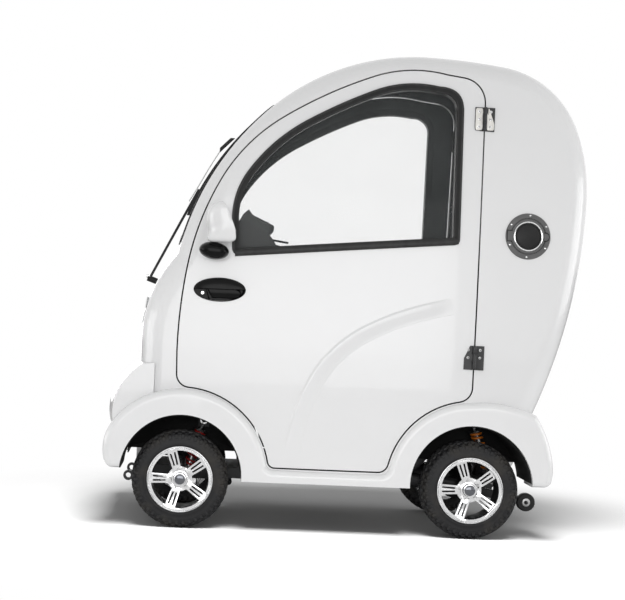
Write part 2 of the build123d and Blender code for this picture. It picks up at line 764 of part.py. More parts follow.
# Wheel arch liners
liner_thick = 5.0
liner_near_y = arch_near_y
liner_far_y = flare_y - flare_wall - 0.5
hole_far_y = max(spring_y for *_, spring_y in towers) + eye_half + 8
liners = []
for axle_x in (front_axle_x, rear_axle_x):
    with BuildSketch(Plane.XZ) as hoop:
        with Locations((axle_x, arch_z)):
            Circle(arch_radius)
            Circle(arch_radius - liner_thick, mode=Mode.SUBTRACT)
        with Locations((axle_x, arch_z - 300)):
            Rectangle(800, 2 * 300 + 40, mode=Mode.SUBTRACT)
    with BuildSketch(Plane.XZ) as wall_disc:
        with Locations((axle_x, arch_z)):
            Circle(arch_radius)
        with Locations((axle_x, arch_z - 300)):
            Rectangle(800, 2 * 300 + 140, mode=Mode.SUBTRACT)
    for sign in (1, -1):
        liner = side_prism(hoop.sketch, liner_near_y, liner_far_y)
        liner += side_prism(wall_disc.sketch, liner_near_y, liner_near_y + liner_thick)
        liners.append(liner if sign > 0 else mirror(liner, about=Plane.XZ))
with BuildPart() as tower_holes:
    for x, _, top_z, _ in towers:
        with BuildSketch(Plane.XZ.offset(-hole_far_y)):
            with Locations((x, top_z - tower_pin)):
                Rectangle(tower_width - 2, 54)
        extrude(amount=2 * hole_far_y)
liners = [liner - tower_holes.part for liner in liners]
save(Compound(children=liners), "wheel_arch_liners")

# Front axle: dropped beam with a yoke and kingpin at each end
beam_z = 116.0
beam_radius = 15.0
yoke_radius = 14.0
yoke_gap = 0.6
yoke_arm = 11.0
yoke_back_y = 224.0
yoke_back = 10.0
yoke_foot_z = knuckle_foot_z - yoke_gap - yoke_arm
yoke_top_z = knuckle_top_z + yoke_gap + yoke_arm
spring_foot = (front_axle_x - 16.0, beam_z + 41.5)
front_spring_y = towers[0][3]
with BuildPart() as yoke:
    with BuildSketch(Plane.XY.offset(yoke_foot_z)):
        with Locations((front_axle_x, yoke_back_y + yoke_back / 2)):
            Rectangle(36, yoke_back)
    extrude(amount=yoke_top_z - yoke_foot_z)
    for z in (yoke_foot_z, knuckle_top_z + yoke_gap):
        with BuildSketch(Plane.XY.offset(z)):
            with Locations((front_axle_x, kingpin_y)):
                Circle(yoke_radius)
            with Locations((front_axle_x, (yoke_back_y + kingpin_y) / 2)):
                Rectangle(2 * yoke_radius, kingpin_y - yoke_back_y)
        extrude(amount=yoke_arm)
    with BuildSketch(Plane.XY.offset(yoke_foot_z - 4)):
        with Locations((front_axle_x, kingpin_y)):
            Circle(kingpin_radius)
    extrude(amount=yoke_top_z - yoke_foot_z + 8)
    with BuildSketch(Plane.XZ.offset(-yoke_back_y)):
        with Locations((front_axle_x, beam_z)):
            Circle(beam_radius)
    extrude(amount=yoke_back_y)
    with BuildSketch(Plane.XY.offset(beam_z - 4)):
        with Locations((spring_foot[0], front_spring_y - eye_half - 6)):
            Rectangle(34, 8)
    extrude(amount=spring_foot[1] + 14 - beam_z)
lug_pin = stub(spring_foot[0], front_spring_y - eye_half - 6, spring_foot[1], pin_radius, 2 * eye_half + 9)
front_axle = both_sides(yoke.part + lug_pin)
# Leading arms tie the beam to the rails, inside them and over the tie rod
pivot_bar_radius = 12.0
leading_pivot = (front_axle_x - 170.0, rail_low_z - rail_depth / 2 - pivot_bar_radius)
arm_crest_z = 150.0
leading_near_y = 84.0
with BuildSketch(Plane.XZ) as leading_arm:
    with BuildLine():
        Polyline((front_axle_x, beam_z), (front_axle_x - 9, arm_crest_z), (front_axle_x - 120, arm_crest_z),
                 leading_pivot)
    trace(line_width=20)
front_axle += along_y(leading_arm.sketch, leading_near_y, leading_near_y + 14)
front_axle += cross_bar(*leading_pivot, pivot_bar_radius, rail_far_y)
front_axle = front_axle - chassis
save(front_axle, "front_axle")

# Knuckles with their stub axles and steering arms
arm_z = 131.0
arm_thick = 9.0
rod_pin_radius = 5.0
rod_radius = 6.0
eye_drop = 3.0              # air between a steering arm and the eye under it
eye_radius = 11.0
eye_thick = 9.0
hub_end_y = 338.0
arm_end = (front_axle_x - arm_reach, kingpin_y)
with BuildPart() as knuckle_block:
    with BuildSketch(Plane.XY.offset(knuckle_foot_z)):
        with Locations((front_axle_x, kingpin_y)):
            Circle(13.5)
    extrude(amount=knuckle_top_z - knuckle_foot_z)
    with BuildSketch(Plane.XZ.offset(-kingpin_y)):
        with Locations((front_axle_x, tyre_radius)):
            Circle(22)
    extrude(amount=-24)
    with BuildSketch(Plane.XY.offset(arm_z - arm_thick / 2)):
        with BuildLine():
            Line((front_axle_x, kingpin_y), arm_end)
        trace(line_width=20)
        with Locations(arm_end):
            Circle(10)
    extrude(amount=arm_thick)
    with BuildSketch(Plane.XY.offset(arm_z - arm_thick / 2 - eye_drop - eye_thick - 3)):
        with Locations(arm_end):
            Circle(rod_pin_radius)
    extrude(amount=eye_drop + eye_thick + 5)
    with BuildSketch(Plane.XY.offset(knuckle_foot_z - 2)):
        with Locations((front_axle_x, kingpin_y)):
            Circle(kingpin_radius + pin_gap)
    extrude(amount=knuckle_top_z - knuckle_foot_z + 4, mode=Mode.SUBTRACT)
stub_start_y = kingpin_y + 20
stub_axle = stub(front_axle_x, stub_start_y, tyre_radius, axle_radius, hub_end_y - stub_start_y)
knuckle = knuckle_block.part + stub_axle
save(knuckle, "left_knuckle")
save(mirror(knuckle, about=Plane.XZ), "right_knuckle")

eye_z = arm_z - arm_thick / 2 - eye_drop - eye_thick / 2
with BuildPart() as tie_rod:
    with BuildSketch(Plane.XZ.offset(-arm_end[1])):
        with Locations((arm_end[0], eye_z)):
            Circle(rod_radius)
    extrude(amount=2 * arm_end[1])
    for sign in (1, -1):
        with BuildSketch(Plane.XY.offset(eye_z - eye_thick / 2)):
            with Locations((arm_end[0], sign * arm_end[1])):
                Circle(eye_radius)
        extrude(amount=eye_thick)
    for sign in (1, -1):
        with BuildSketch(Plane.XY.offset(eye_z - eye_thick)):
            with Locations((arm_end[0], sign * arm_end[1])):
                Circle(rod_pin_radius + (pin_gap if sign > 0 else fit_gap))
        extrude(amount=2 * eye_thick, mode=Mode.SUBTRACT)
save(tie_rod.part, "tie_rod")

# Rear axle: housing, differential case, trailing arms and stub axles
housing_radius = 24.0
case_radius = 62.0
rear_spring_foot = (rear_axle_x - 100.0, 190.0)
rear_spring_y = towers[1][3]
rear_axle = cross_bar(rear_axle_x, tyre_radius, housing_radius, 236)
rear_axle += cross_bar(rear_axle_x, tyre_radius, axle_radius, hub_end_y)
with BuildPart() as case:
    with BuildSketch(Plane.XZ.offset(-58)):
        with Locations((rear_axle_x, tyre_radius)):
            Circle(case_radius)
        with Locations((rear_axle_x + 62, tyre_radius + 6)):
            Rectangle(90, 90)
    extrude(amount=116)
    fillet(case.edges().filter_by(GeomType.LINE).filter_by(Axis.Y), 14)
with BuildPart() as motor:
    with BuildSketch(Plane.YZ.offset(rear_axle_x + 100)):
        with Locations((0, tyre_radius + 6)):
            Circle(44)
    extrude(amount=85)
    chamfer(motor.faces().sort_by(Axis.X)[-1].edges(), 6)
rear_axle += case.part + motor.part
with BuildSketch(Plane.XZ) as trailing_arm:
    with BuildLine():
        Polyline(arm_pivot, (rear_axle_x, tyre_radius), rear_spring_foot)
    trace(line_width=40)
    with Locations(arm_pivot):
        Circle(22)
        Circle(axle_radius + pin_gap, mode=Mode.SUBTRACT)
rear_axle += along_y(trailing_arm.sketch, trail_near_y, trail_far_y)
foot_pin_length = rear_spring_y + eye_half + 7 - trail_far_y
foot_pin = stub(rear_spring_foot[0], trail_far_y - 4, rear_spring_foot[1], pin_radius, foot_pin_length)
rear_axle += both_sides(foot_pin)
save(rear_axle, "rear_axle")

# Coil-overs. Columns: foot x and z, head x and z, y of their middle, spring's length share.
coil_overs = [
    (*spring_foot, towers[0][0], towers[0][2] - tower_pin, front_spring_y, 0.62),
    (*rear_spring_foot, towers[1][0], towers[1][2] - tower_pin, rear_spring_y, 0.62),
]
damper_radius = 11.0
eye_outer = 13.0
coil_wire = 7.0
coil_outer = 21.0
coil_inner = 12.5
coil_turns = 6


def coil_over(foot_x, foot_z, head_x, head_z, y, share):
    """Damper with an eye at each end, and the ribbed sleeve of its spring."""
    foot, head = Vector(foot_x, y, foot_z), Vector(head_x, y, head_z)
    line = (head - foot).normalized()
    reach = (head - foot).length
    plane = Plane(origin=foot, x_dir=(0, 1, 0), z_dir=line)
    low, high = reach * (1 - share) / 2, reach * (1 + share) / 2
    eyes = ((foot_x, foot_z), (head_x, head_z))
    with BuildPart() as damper:
        with BuildSketch(Plane(origin=foot, x_dir=(0, 1, 0), z_dir=Vector(0, 1, 0).cross(line))):
            with BuildLine():
                Polyline((0, eye_outer - 2), (damper_radius, eye_outer - 2), (damper_radius, low - 4),
                         (coil_outer + 1, low - 4), (coil_outer + 1, low), (damper_radius, low),
                         (damper_radius, high), (coil_outer + 1, high), (coil_outer + 1, high + 4),
                         (damper_radius / 2, high + 4), (damper_radius / 2, reach - eye_outer + 2),
                         (0, reach - eye_outer + 2), close=True)
            make_face()
        revolve(axis=Axis(foot, line))
        with BuildSketch(Plane.XZ.offset(-y - eye_half)):
            with Locations(*eyes):
                Circle(eye_outer)
        extrude(amount=2 * eye_half)
        with BuildSketch(Plane.XZ.offset(-y - eye_half - 1)):
            with Locations(*eyes):
                Circle(pin_radius + pin_gap)
        extrude(amount=2 * eye_half + 2, mode=Mode.SUBTRACT)
    pitch = (high - low - 0.6) / (2 * coil_turns)
    ridges = [(coil_outer - coil_wire * (i % 2), low + 0.3 + i * pitch) for i in range(2 * coil_turns + 1)]
    with BuildPart() as spring:
        with BuildSketch(Plane(origin=foot, x_dir=(0, 1, 0), z_dir=Vector(0, 1, 0).cross(line))):
            with BuildLine():
                Polyline((coil_inner, low + 0.3), *ridges, (coil_inner, high - 0.3), close=True)
            make_face()
        revolve(axis=Axis(foot, line))
    return damper.part, spring.part


dampers, springs = [], []
for foot_x, foot_z, head_x, head_z, y, share in coil_overs:
    for side in (1, -1):
        damper, spring = coil_over(foot_x, foot_z, head_x, head_z, side * y, share)
        dampers.append(damper)
        springs.append(spring)
save(Compound(children=dampers), "dampers")
save(Compound(children=springs), "coil_springs")

# Wheels, made round the origin with their outer face towards +Y
rim_half = 48.0
lip_thick = 2.5
barrel_radius_outer = 102.0
barrel_thick = 4.0
hub_radius = 42.0
hub_low = -10.0
hub_high = 30.0
spoke_count = 5
spoke_face = 34.0
spoke_thick = 13.0
spoke_root = 30.0
spoke_tip = 100.0
spoke_half_root = 14.0
spoke_half_tip = 17.5
slot_half = 3.0
slot_from_middle = 7.5
cap_radius = 21.0
cap_height = 15.0
# Half section of the tyre from its bead: radius, distance from the middle plane.
tyre_section = [(barrel_radius_outer + fit_gap, 42.0), (128.0, 50.0), (156.0, 47.0), (tyre_radius, 36.0)]

with BuildPart() as tyre:
    with BuildSketch(Plane.XY):
        with BuildLine():
            Polyline(*tyre_section, *[(r, -y) for r, y in reversed(tyre_section)], close=True)
        make_face()
    revolve(axis=Axis.Y)

with BuildSketch() as spoke:
    with BuildLine():
        Polyline((spoke_root, -spoke_half_root), (spoke_tip, -spoke_half_tip),
                 (spoke_tip, spoke_half_tip), (spoke_root, spoke_half_root), close=True)
    make_face()
    for sign in (1, -1):
        with BuildLine():
            Line((48, sign * (slot_from_middle - 2)), (92, sign * slot_from_middle))
        trace(line_width=2 * slot_half, mode=Mode.SUBTRACT)
with BuildSketch(Plane.XZ.offset(-spoke_face)) as spokes:
    with PolarLocations(0, spoke_count):
        add(spoke.sketch)

with BuildPart() as rim:
    with BuildSketch(Plane.XY):
        with Locations((barrel_radius_outer - barrel_thick / 2, 0)):
            Rectangle(barrel_thick, 2 * rim_half)
        for sign in (1, -1):
            with Locations(((barrel_radius_outer + rim_radius) / 2 - 1, sign * (rim_half - lip_thick / 2))):
                Rectangle(rim_radius - barrel_radius_outer + 2, lip_thick)
        with Locations((hub_radius / 2, hub_high - 8)):
            Rectangle(hub_radius, 16)
        with Locations((12, (hub_low + hub_high) / 2)):
            Rectangle(24, hub_high - hub_low)
        with Locations((cap_radius / 2, hub_high + cap_height / 2)):
            Rectangle(cap_radius, cap_height)
    revolve(axis=Axis.Y)
    fillet(rim.edges().filter_by(GeomType.CIRCLE).sort_by(Axis.Y)[-1], 2)
    add(extrude(spokes.sketch, amount=spoke_thick, dir=(0, -1, 0)))
    with BuildSketch(Plane.XZ.offset(20)):
        Circle(axle_radius + pin_gap)
    extrude(amount=-(20 + hub_end_y - wheel_y + 3), mode=Mode.SUBTRACT)

for end, axle_x in (("front", front_axle_x), ("rear", rear_axle_x)):
    for piece, name in ((tyre.part, "tyre"), (rim.part, "rim")):
        placed = piece.moved(Location((axle_x, wheel_y, tyre_radius)))
        save(placed, "left_" + end + "_" + name)
        save(mirror(placed, about=Plane.XZ), "right_" + end + "_" + name)

# Stabiliser wheels
with BuildPart() as stabiliser_wheel:
    with BuildSketch(Plane.XY):
        with Locations((stabiliser_radius / 2, 0)):
            Rectangle(stabiliser_radius, stabiliser_width)
    revolve(axis=Axis.Y)
    chamfer(stabiliser_wheel.edges().filter_by(GeomType.CIRCLE), 4)
    with BuildSketch(Plane.XZ.offset(-stabiliser_width)):
        Circle(stabiliser_pin + pin_gap)
    extrude(amount=2 * stabiliser_width, mode=Mode.SUBTRACT)
for sign, name in ((1, "left_stabiliser_wheel"), (-1, "right_stabiliser_wheel")):
    place = Location((stabiliser_at[0], sign * stabiliser_at[1], stabiliser_at[2]))
    save(stabiliser_wheel.part.moved(place), name)

# Tiller: column, console and handlebar
column_length = 775.0
bar_at = (364.0, 1018.0)
bar_radius = 11.0
bar_half = 190.0
grip_radius = 16.0
grip_end = 255.0
grip_start = 150.0
lever_section = (22.0, 7.0)
lever_length = 165.0
with BuildPart() as tiller_column:
    with BuildSketch(tiller_plane.offset(-bearing_length / 2 + 5)):
        Circle(column_radius)
    extrude(amount=column_length + bearing_length / 2 - 5)
    with BuildSketch(tiller_plane.offset(bearing_length / 2 + 1)):
        Circle(column_radius + 7)
    extrude(amount=8)
save(tiller_column.part, "tiller_column")

console_half = 85.0
console_profile = [(388, 978), (386, 1070), (356, 1098), (259, 1053), (262, 1030), (330, 978)]
with BuildPart() as console:
    with BuildSketch(Plane.XZ.offset(-console_half)):
        with BuildLine():
            Polyline(*console_profile, close=True)
        make_face()
        fillet(vertices(), 10)
    extrude(amount=2 * console_half)
    fillet(console.faces().filter_by(Axis.Y).edges(), 9)
console_solid = console.part - tiller_column.part - cross_bar(bar_at[0], bar_at[1], bar_radius, bar_half)
save(console_solid, "tiller_console")
with BuildPart() as handlebar:
    add(cross_bar(bar_at[0], bar_at[1], bar_radius, bar_half) - tiller_column.part)
    for sign in (1, -1):
        with BuildSketch(Plane.XZ.offset(-sign * grip_start)):
            with Locations(bar_at):
                Circle(grip_radius)
        extrude(amount=-sign * (grip_end - grip_start))
        lever_root = (bar_at[0] - 6, sign * 100, bar_at[1] - 4)
        with BuildSketch(Plane(origin=lever_root, z_dir=(-1, sign * 0.6, -0.18))):
            Rectangle(*lever_section)
        extrude(amount=lever_length)
lever_solid = handlebar.part - console_solid
save(lever_solid, "handlebar")

# Seat: hollow stand over the battery, tray, back posts, cushions
stand_x = (-205.0, 40.0)
stand_half = 150.0
stand_wall = 5.0
pan_top = rail_low_z + pan_lift + pan_thick / 2
stand_top = 455.0
tray_thick = 8.0
tray_x = (-352.0, 55.0)
tray_half = 200.0
post_lean = 58.0
post_top = 900.0
post_y = (120.0, 145.0)
post_thick = 12.0
battery_plan = (210.0, 250.0)
battery_height = 190.0
with BuildPart() as seat_stand:
    with BuildSketch(Plane.XY.offset(pan_top)):
        with Locations(((stand_x[0] + stand_x[1]) / 2, 0)):
            Rectangle(stand_x[1] - stand_x[0], 2 * stand_half)
        fillet(vertices(), 20)
    extrude(amount=stand_top - pan_top, taper=3)
    with BuildSketch(Plane.XY.offset(pan_top)):
        with Locations(((stand_x[0] + stand_x[1]) / 2, 0)):
            Rectangle(stand_x[1] - stand_x[0] - 2 * stand_wall, 2 * (stand_half - stand_wall))
        fillet(vertices(), 20 - stand_wall)
    extrude(amount=stand_top - pan_top - stand_wall, taper=3, mode=Mode.SUBTRACT)
    with BuildSketch(Plane.XY.offset(stand_top)):
        with Locations(((tray_x[0] + tray_x[1]) / 2, 0)):
            Rectangle(tray_x[1] - tray_x[0], 2 * tray_half)
        fillet(vertices(), 30)
    extrude(amount=tray_thick)
post_path = [(tray_x[0] + post_thick / 2, stand_top + 1), (tray_x[0] + post_thick / 2 - post_lean, post_top)]
posts = along_y(ribbon(post_path, post_thick), *post_y)
seat_stand_solid = seat_stand.part + posts
save(seat_stand_solid, "seat_stand")
with BuildPart() as battery:
    with BuildSketch(Plane.XY.offset(pan_top)):
        with Locations(((stand_x[0] + stand_x[1]) / 2, 0)):
            Rectangle(*battery_plan)
    extrude(amount=battery_height)
save(battery.part, "battery_pack")

cushion_x = (-335.0, 70.0)
cushion_half = 215.0
cushion_thick = 88.0
tray_top = stand_top + tray_thick
with BuildPart() as seat_cushion:
    with BuildSketch(Plane.XY.offset(tray_top + fit_gap)):
        with Locations(((cushion_x[0] + cushion_x[1]) / 2, 0)):
            Rectangle(cushion_x[1] - cushion_x[0], 2 * cushion_half)
        fillet(vertices(), 70)
    extrude(amount=cushion_thick)
    fillet(seat_cushion.faces().sort_by(Axis.Z)[-1].edges(), 28)
save(seat_cushion.part, "seat_cushion")
back_thick = 78.0
back_foot_z = tray_top + cushion_thick + 8
back_top_z = 940.0
back_half = 205.0
post_slope = post_lean / (post_top - stand_top - 1)


def post_front(z):
    """Front face of the back posts at a height, with the cushion's clearance."""
    return post_path[0][0] - (z - post_path[0][1]) * post_slope + post_thick / 2 + 2 * fit_gap


with BuildPart() as seat_back:
    with BuildSketch(Plane.XZ.offset(-back_half)):
        with BuildLine():
            Polyline((post_front(back_foot_z), back_foot_z), (post_front(back_top_z), back_top_z),
                     (post_front(back_top_z) + back_thick, back_top_z + 8),
                     (post_front(back_foot_z) + back_thick, back_foot_z + 8), close=True)
        make_face()
    extrude(amount=2 * back_half)
    fillet(seat_back.edges().sort_by(Axis.X)[-9:].filter_by(Axis.Y), 24)
save(seat_back.part, "seat_back")

# Dashboard shelf under the windscreen
shelf_half = 270.0
with BuildPart() as shelf:
    with BuildSketch(Plane.XZ.offset(-shelf_half)):
        with BuildLine():
            Polyline((498, 800), (492, 872), (520, 886), (720, 886), (720, 770), (560, 770), close=True)
        make_face()
        fillet(vertices(), 8)
    extrude(amount=2 * shelf_half)
dashboard = shelf.part & lining_form
save(dashboard, "dashboard")
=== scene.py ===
import json
import math

import bmesh
import bpy
import numpy as np
from mathutils import Matrix, Vector


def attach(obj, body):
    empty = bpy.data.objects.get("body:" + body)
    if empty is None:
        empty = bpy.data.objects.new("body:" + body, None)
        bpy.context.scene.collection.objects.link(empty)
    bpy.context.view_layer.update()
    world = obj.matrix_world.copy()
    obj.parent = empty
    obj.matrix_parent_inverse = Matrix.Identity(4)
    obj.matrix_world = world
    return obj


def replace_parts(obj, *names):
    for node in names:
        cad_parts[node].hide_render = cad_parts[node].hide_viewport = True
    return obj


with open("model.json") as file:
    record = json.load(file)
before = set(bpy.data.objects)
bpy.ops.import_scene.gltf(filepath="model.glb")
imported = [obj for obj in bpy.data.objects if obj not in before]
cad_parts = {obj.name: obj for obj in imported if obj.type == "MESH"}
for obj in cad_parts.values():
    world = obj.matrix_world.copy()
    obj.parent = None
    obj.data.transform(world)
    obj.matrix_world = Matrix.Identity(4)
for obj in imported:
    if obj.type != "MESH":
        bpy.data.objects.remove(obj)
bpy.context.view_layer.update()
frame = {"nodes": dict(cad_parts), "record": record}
nodes = frame["nodes"]
bodies = frame["record"]["behaviour"]["bodies"]
bodyOf = {node: body for body, members in bodies.items() for node in members}
slotOf = {row["node"]: row["material_slot"] for row in frame["record"]["subparts"]}
sides = (("left", 1), ("right", -1))
print("frame loaded:", len(nodes), "nodes")

# Shader maths


class Wire:
    # an output socket; arithmetic on it adds Math nodes

    def __init__(self, graph, socket):
        self.graph = graph
        self.socket = socket

    def maths(self, operation, first, second=0.0):
        return self.graph.node("ShaderNodeMath", {"operation": operation}, {0: first, 1: second})

    def __add__(self, other):
        return self.maths("ADD", self, other)

    def __sub__(self, other):
        return self.maths("SUBTRACT", self, other)

    def __rsub__(self, other):
        return self.maths("SUBTRACT", other, self)

    def __mul__(self, other):
        return self.maths("MULTIPLY", self, other)

    def orElse(self, other):
        return self.maths("MAXIMUM", self, other)

    __radd__ = __add__
    __rmul__ = __mul__


principled = {
    "color": "Base Color", "metal": "Metallic", "rough": "Roughness", "coat": "Coat Weight",
    "coatRough": "Coat Roughness", "alpha": "Alpha", "normal": "Normal", "ior": "IOR",
    "specular": "Specular IOR Level",
}


class Graph:
    # a node tree and the one method that adds to it

    def __init__(self, tree):
        self.tree = tree

    def put(self, socket, value):
        if isinstance(value, Wire):
            self.tree.links.new(value.socket, socket)
        elif isinstance(value, tuple) and len(value) == 3 and socket.type == "RGBA":
            socket.default_value = (*value, 1.0)
        else:
            socket.default_value = value

    def node(self, kind, settings=None, values=None, output=0):
        made = self.tree.nodes.new(kind)
        for word, value in (settings or {}).items():
            if word == "stops":
                self.setStops(made.color_ramp, value)
            else:
                setattr(made, word, value)
        for place, value in (values or {}).items():
            self.put(made.inputs[place], value)
        return Wire(self, made.outputs[output])

    def setStops(self, ramp, stops):
        while len(ramp.elements) < len(stops):
            ramp.elements.new(0.5)
        for element, (place, shade) in zip(ramp.elements, stops):
            element.position = place
            element.color = (shade, shade, shade, 1.0)

    def blend(self, share, first, second):
        return self.node("ShaderNodeMix", {"data_type": "RGBA"}, {0: share, 6: first, 7: second}, 2)

    def ray(self, kind):
        # 1 for rays of the kind, such as "Is Camera Ray"
        return self.node("ShaderNodeLightPath", output=kind)


class Finish(Graph):
    # one material, built from the settings given and the wires put on it

    def __init__(self, name, **fixed):
        self.material = bpy.data.materials.new(name)
        self.material.use_nodes = True
        super().__init__(self.material.node_tree)
        self.shader = self.tree.nodes["Principled BSDF"]
        self.surface(**fixed)

    def surface(self, **values):
        for word, value in values.items():
            self.put(self.shader.inputs[principled[word]], value)
        return self

    def place(self, stretch=(1, 1, 1)):
        # Object coordinates, stretched along the axes
        here = self.node("ShaderNodeTexCoord", output=3)
        return self.node("ShaderNodeMapping", None, {"Vector": here, "Scale": stretch})

    def noise(self, scale, detail=2.0, stretch=(1, 1, 1)):
        return self.node("ShaderNodeTexNoise", None,
                         {"Vector": self.place(stretch), "Scale": scale, "Detail": detail}, 0)

    def ramp(self, value, *stops):
        return self.node("ShaderNodeValToRGB", {"stops": stops}, {0: value})

    def bump(self, height, strength, depth=0.001):
        return self.node("ShaderNodeBump", None,
                         {"Height": height, "Strength": strength, "Distance": depth})


def gelcoat():
    # white gelcoat: faint cloudiness, orange peel and slightly uneven gloss under a clear layer
    paint = Finish("white gelcoat", coatRough=0.04, ior=1.48, coat=0.45)
    cloud = paint.noise(1.8, 3.0)
    return paint.surface(
        color=paint.blend(cloud, (0.80, 0.80, 0.805), (0.845, 0.845, 0.845)),
        rough=0.16 + 0.14 * paint.noise(7.0, 4.0),
        normal=paint.bump(paint.noise(160.0, 1.0), 0.06, 0.0004))


def darkLining():
    # black speckled felt and textured paint of the cabin's inner side
    felt = Finish("cabin lining", rough=0.85)
    speck = felt.ramp(felt.noise(520.0, 3.0), (0.45, 0.0), (0.68, 1.0))
    return felt.surface(
        color=felt.blend(speck, (0.012, 0.012, 0.013), (0.085, 0.085, 0.088)),
        normal=felt.bump(felt.noise(700.0, 2.0), 0.5, 0.0008))


def blackPlastic(name, shade=0.018, rough=0.42, grain=900.0, depth=0.35, shine=0.2):
    # moulded plastic with a fine leather-like grain and a little wear in its gloss
    plastic = Finish(name, specular=shine)
    cells = plastic.node("ShaderNodeTexVoronoi", None, {"Vector": plastic.place(), "Scale": grain}, 0)
    tone = plastic.noise(14.0, 4.0)
    return plastic.surface(
        color=plastic.blend(tone, (shade * 0.8,) * 3, (shade * 1.5,) * 3),
        rough=rough - 0.08 + 0.16 * plastic.noise(30.0, 3.0),
        normal=plastic.bump(cells, depth, 0.0003))


def blackRubber(name, shade=0.016, rough=0.5):
    # extruded rubber: drawn streaks and a dull bloom
    rubber = Finish(name, specular=0.18)
    streak = rubber.noise(60.0, 3.0, (1, 1, 0.3))
    return rubber.surface(
        color=rubber.blend(streak, (shade * 0.7,) * 3, (shade * 1.9,) * 3),
        rough=rough - 0.1 + 0.22 * streak,
        normal=rubber.bump(rubber.noise(420.0, 2.0), 0.18, 0.0004))


def tyreRubber():
    # tread rubber with road dust on it in patches
    rubber = Finish("tyre rubber", specular=0.3)
    dust = rubber.ramp(rubber.noise(16.0, 5.0), (0.48, 0.0), (0.78, 1.0))
    return rubber.surface(
        color=rubber.blend(dust * 0.55, (0.011, 0.011, 0.012), (0.075, 0.068, 0.058)),
        rough=0.52 + 0.3 * dust,
        normal=rubber.bump(rubber.noise(600.0, 3.0), 0.35, 0.0006))


def polishedAlloy():
    # machined alloy: fine turning rings round the hub and light clouding
    alloy = Finish("polished alloy", metal=1.0)
    ring = alloy.node("ShaderNodeTexNoise", {"noise_dimensions": "3D"},
                      {"Vector": alloy.place(), "Scale": 35.0})
    return alloy.surface(
        color=alloy.blend(ring, (0.70, 0.70, 0.71), (0.88, 0.88, 0.88)),
        rough=0.10 + 0.16 * ring,
        normal=alloy.bump(alloy.noise(900.0, 1.0, (1, 0.05, 1)), 0.05, 0.0002))


def satinPaint(name, color, rough=0.4, metal=0.0):
    # powder coat: fine texture and a dusting of dirt
    paint = Finish(name, metal=metal)
    dirt = paint.ramp(paint.noise(11.0, 5.0), (0.5, 0.0), (0.85, 1.0))
    worn = tuple(0.7 * c + 0.02 for c in color)
    return paint.surface(
        color=paint.blend(dirt * 0.6, color, worn),
        rough=rough + 0.25 * dirt,
        normal=paint.bump(paint.noise(500.0, 2.0), 0.2, 0.0004))


def brushedSteel(name, shade=0.55, rough=0.28):
    # steel with fine streaks along Z
    steel = Finish(name, metal=1.0)
    grain = steel.noise(300.0, 2.0, (1, 1, 0.04))
    return steel.surface(
        color=steel.blend(grain, (shade * 0.8,) * 3, (shade * 1.2,) * 3),
        rough=rough - 0.06 + 0.15 * grain,
        normal=steel.bump(grain, 0.08, 0.0002))


def blackChrome():
    # smoked chrome: dark metal, near mirror
    cap = Finish("smoked chrome", metal=1.0, coat=0.5, coatRough=0.02)
    haze = cap.noise(25.0, 3.0)
    return cap.surface(
        color=cap.blend(haze, (0.10, 0.105, 0.12), (0.17, 0.175, 0.19)),
        rough=0.06 + 0.08 * haze)


def seatLeather():
    # grained synthetic leather
    leather = Finish("seat leather")
    cells = leather.node("ShaderNodeTexVoronoi", {"feature": "DISTANCE_TO_EDGE"},
                         {"Vector": leather.place(), "Scale": 420.0}, 0)
    tone = leather.noise(9.0, 4.0)
    return leather.surface(
        color=leather.blend(tone, (0.018, 0.018, 0.019), (0.042, 0.041, 0.04)),
        rough=0.38 + 0.2 * tone,
        normal=leather.bump(cells, 0.45, 0.0006))


def floorRubber():
    # ribbed floor covering
    mat = Finish("floor rubber", rough=0.7)
    ribs = mat.node("ShaderNodeTexWave", {"wave_type": "BANDS", "bands_direction": "Y"},
                    {"Vector": mat.place(), "Scale": 28.0, "Distortion": 0.0}, 1)
    tone = mat.noise(20.0, 4.0)
    return mat.surface(
        color=mat.blend(tone, (0.03, 0.03, 0.031), (0.075, 0.074, 0.072)),
        normal=mat.bump(ribs, 0.5, 0.0015))


def clearGlass():
    # thin clear glass: mostly see-through, with a faint film of dust
    glass = Finish("clear glass", rough=0.02, specular=0.5, ior=1.5)
    film = glass.noise(6.0, 4.0)
    return glass.surface(
        color=glass.blend(film, (0.30, 0.33, 0.33), (0.45, 0.48, 0.48)),
        alpha=0.035 + 0.03 * film)


def lens(name, color, alpha):
    # ribbed lamp lens
    shade = Finish(name, rough=0.08, coat=0.6, coatRough=0.03)
    ribs = shade.node("ShaderNodeTexWave", {"wave_type": "BANDS", "bands_direction": "Y"},
                      {"Vector": shade.place(), "Scale": 60.0, "Distortion": 0.0}, 1)
    return shade.surface(
        color=shade.blend(ribs, tuple(0.8 * c for c in color), color),
        alpha=alpha,
        normal=shade.bump(ribs, 0.4, 0.001))


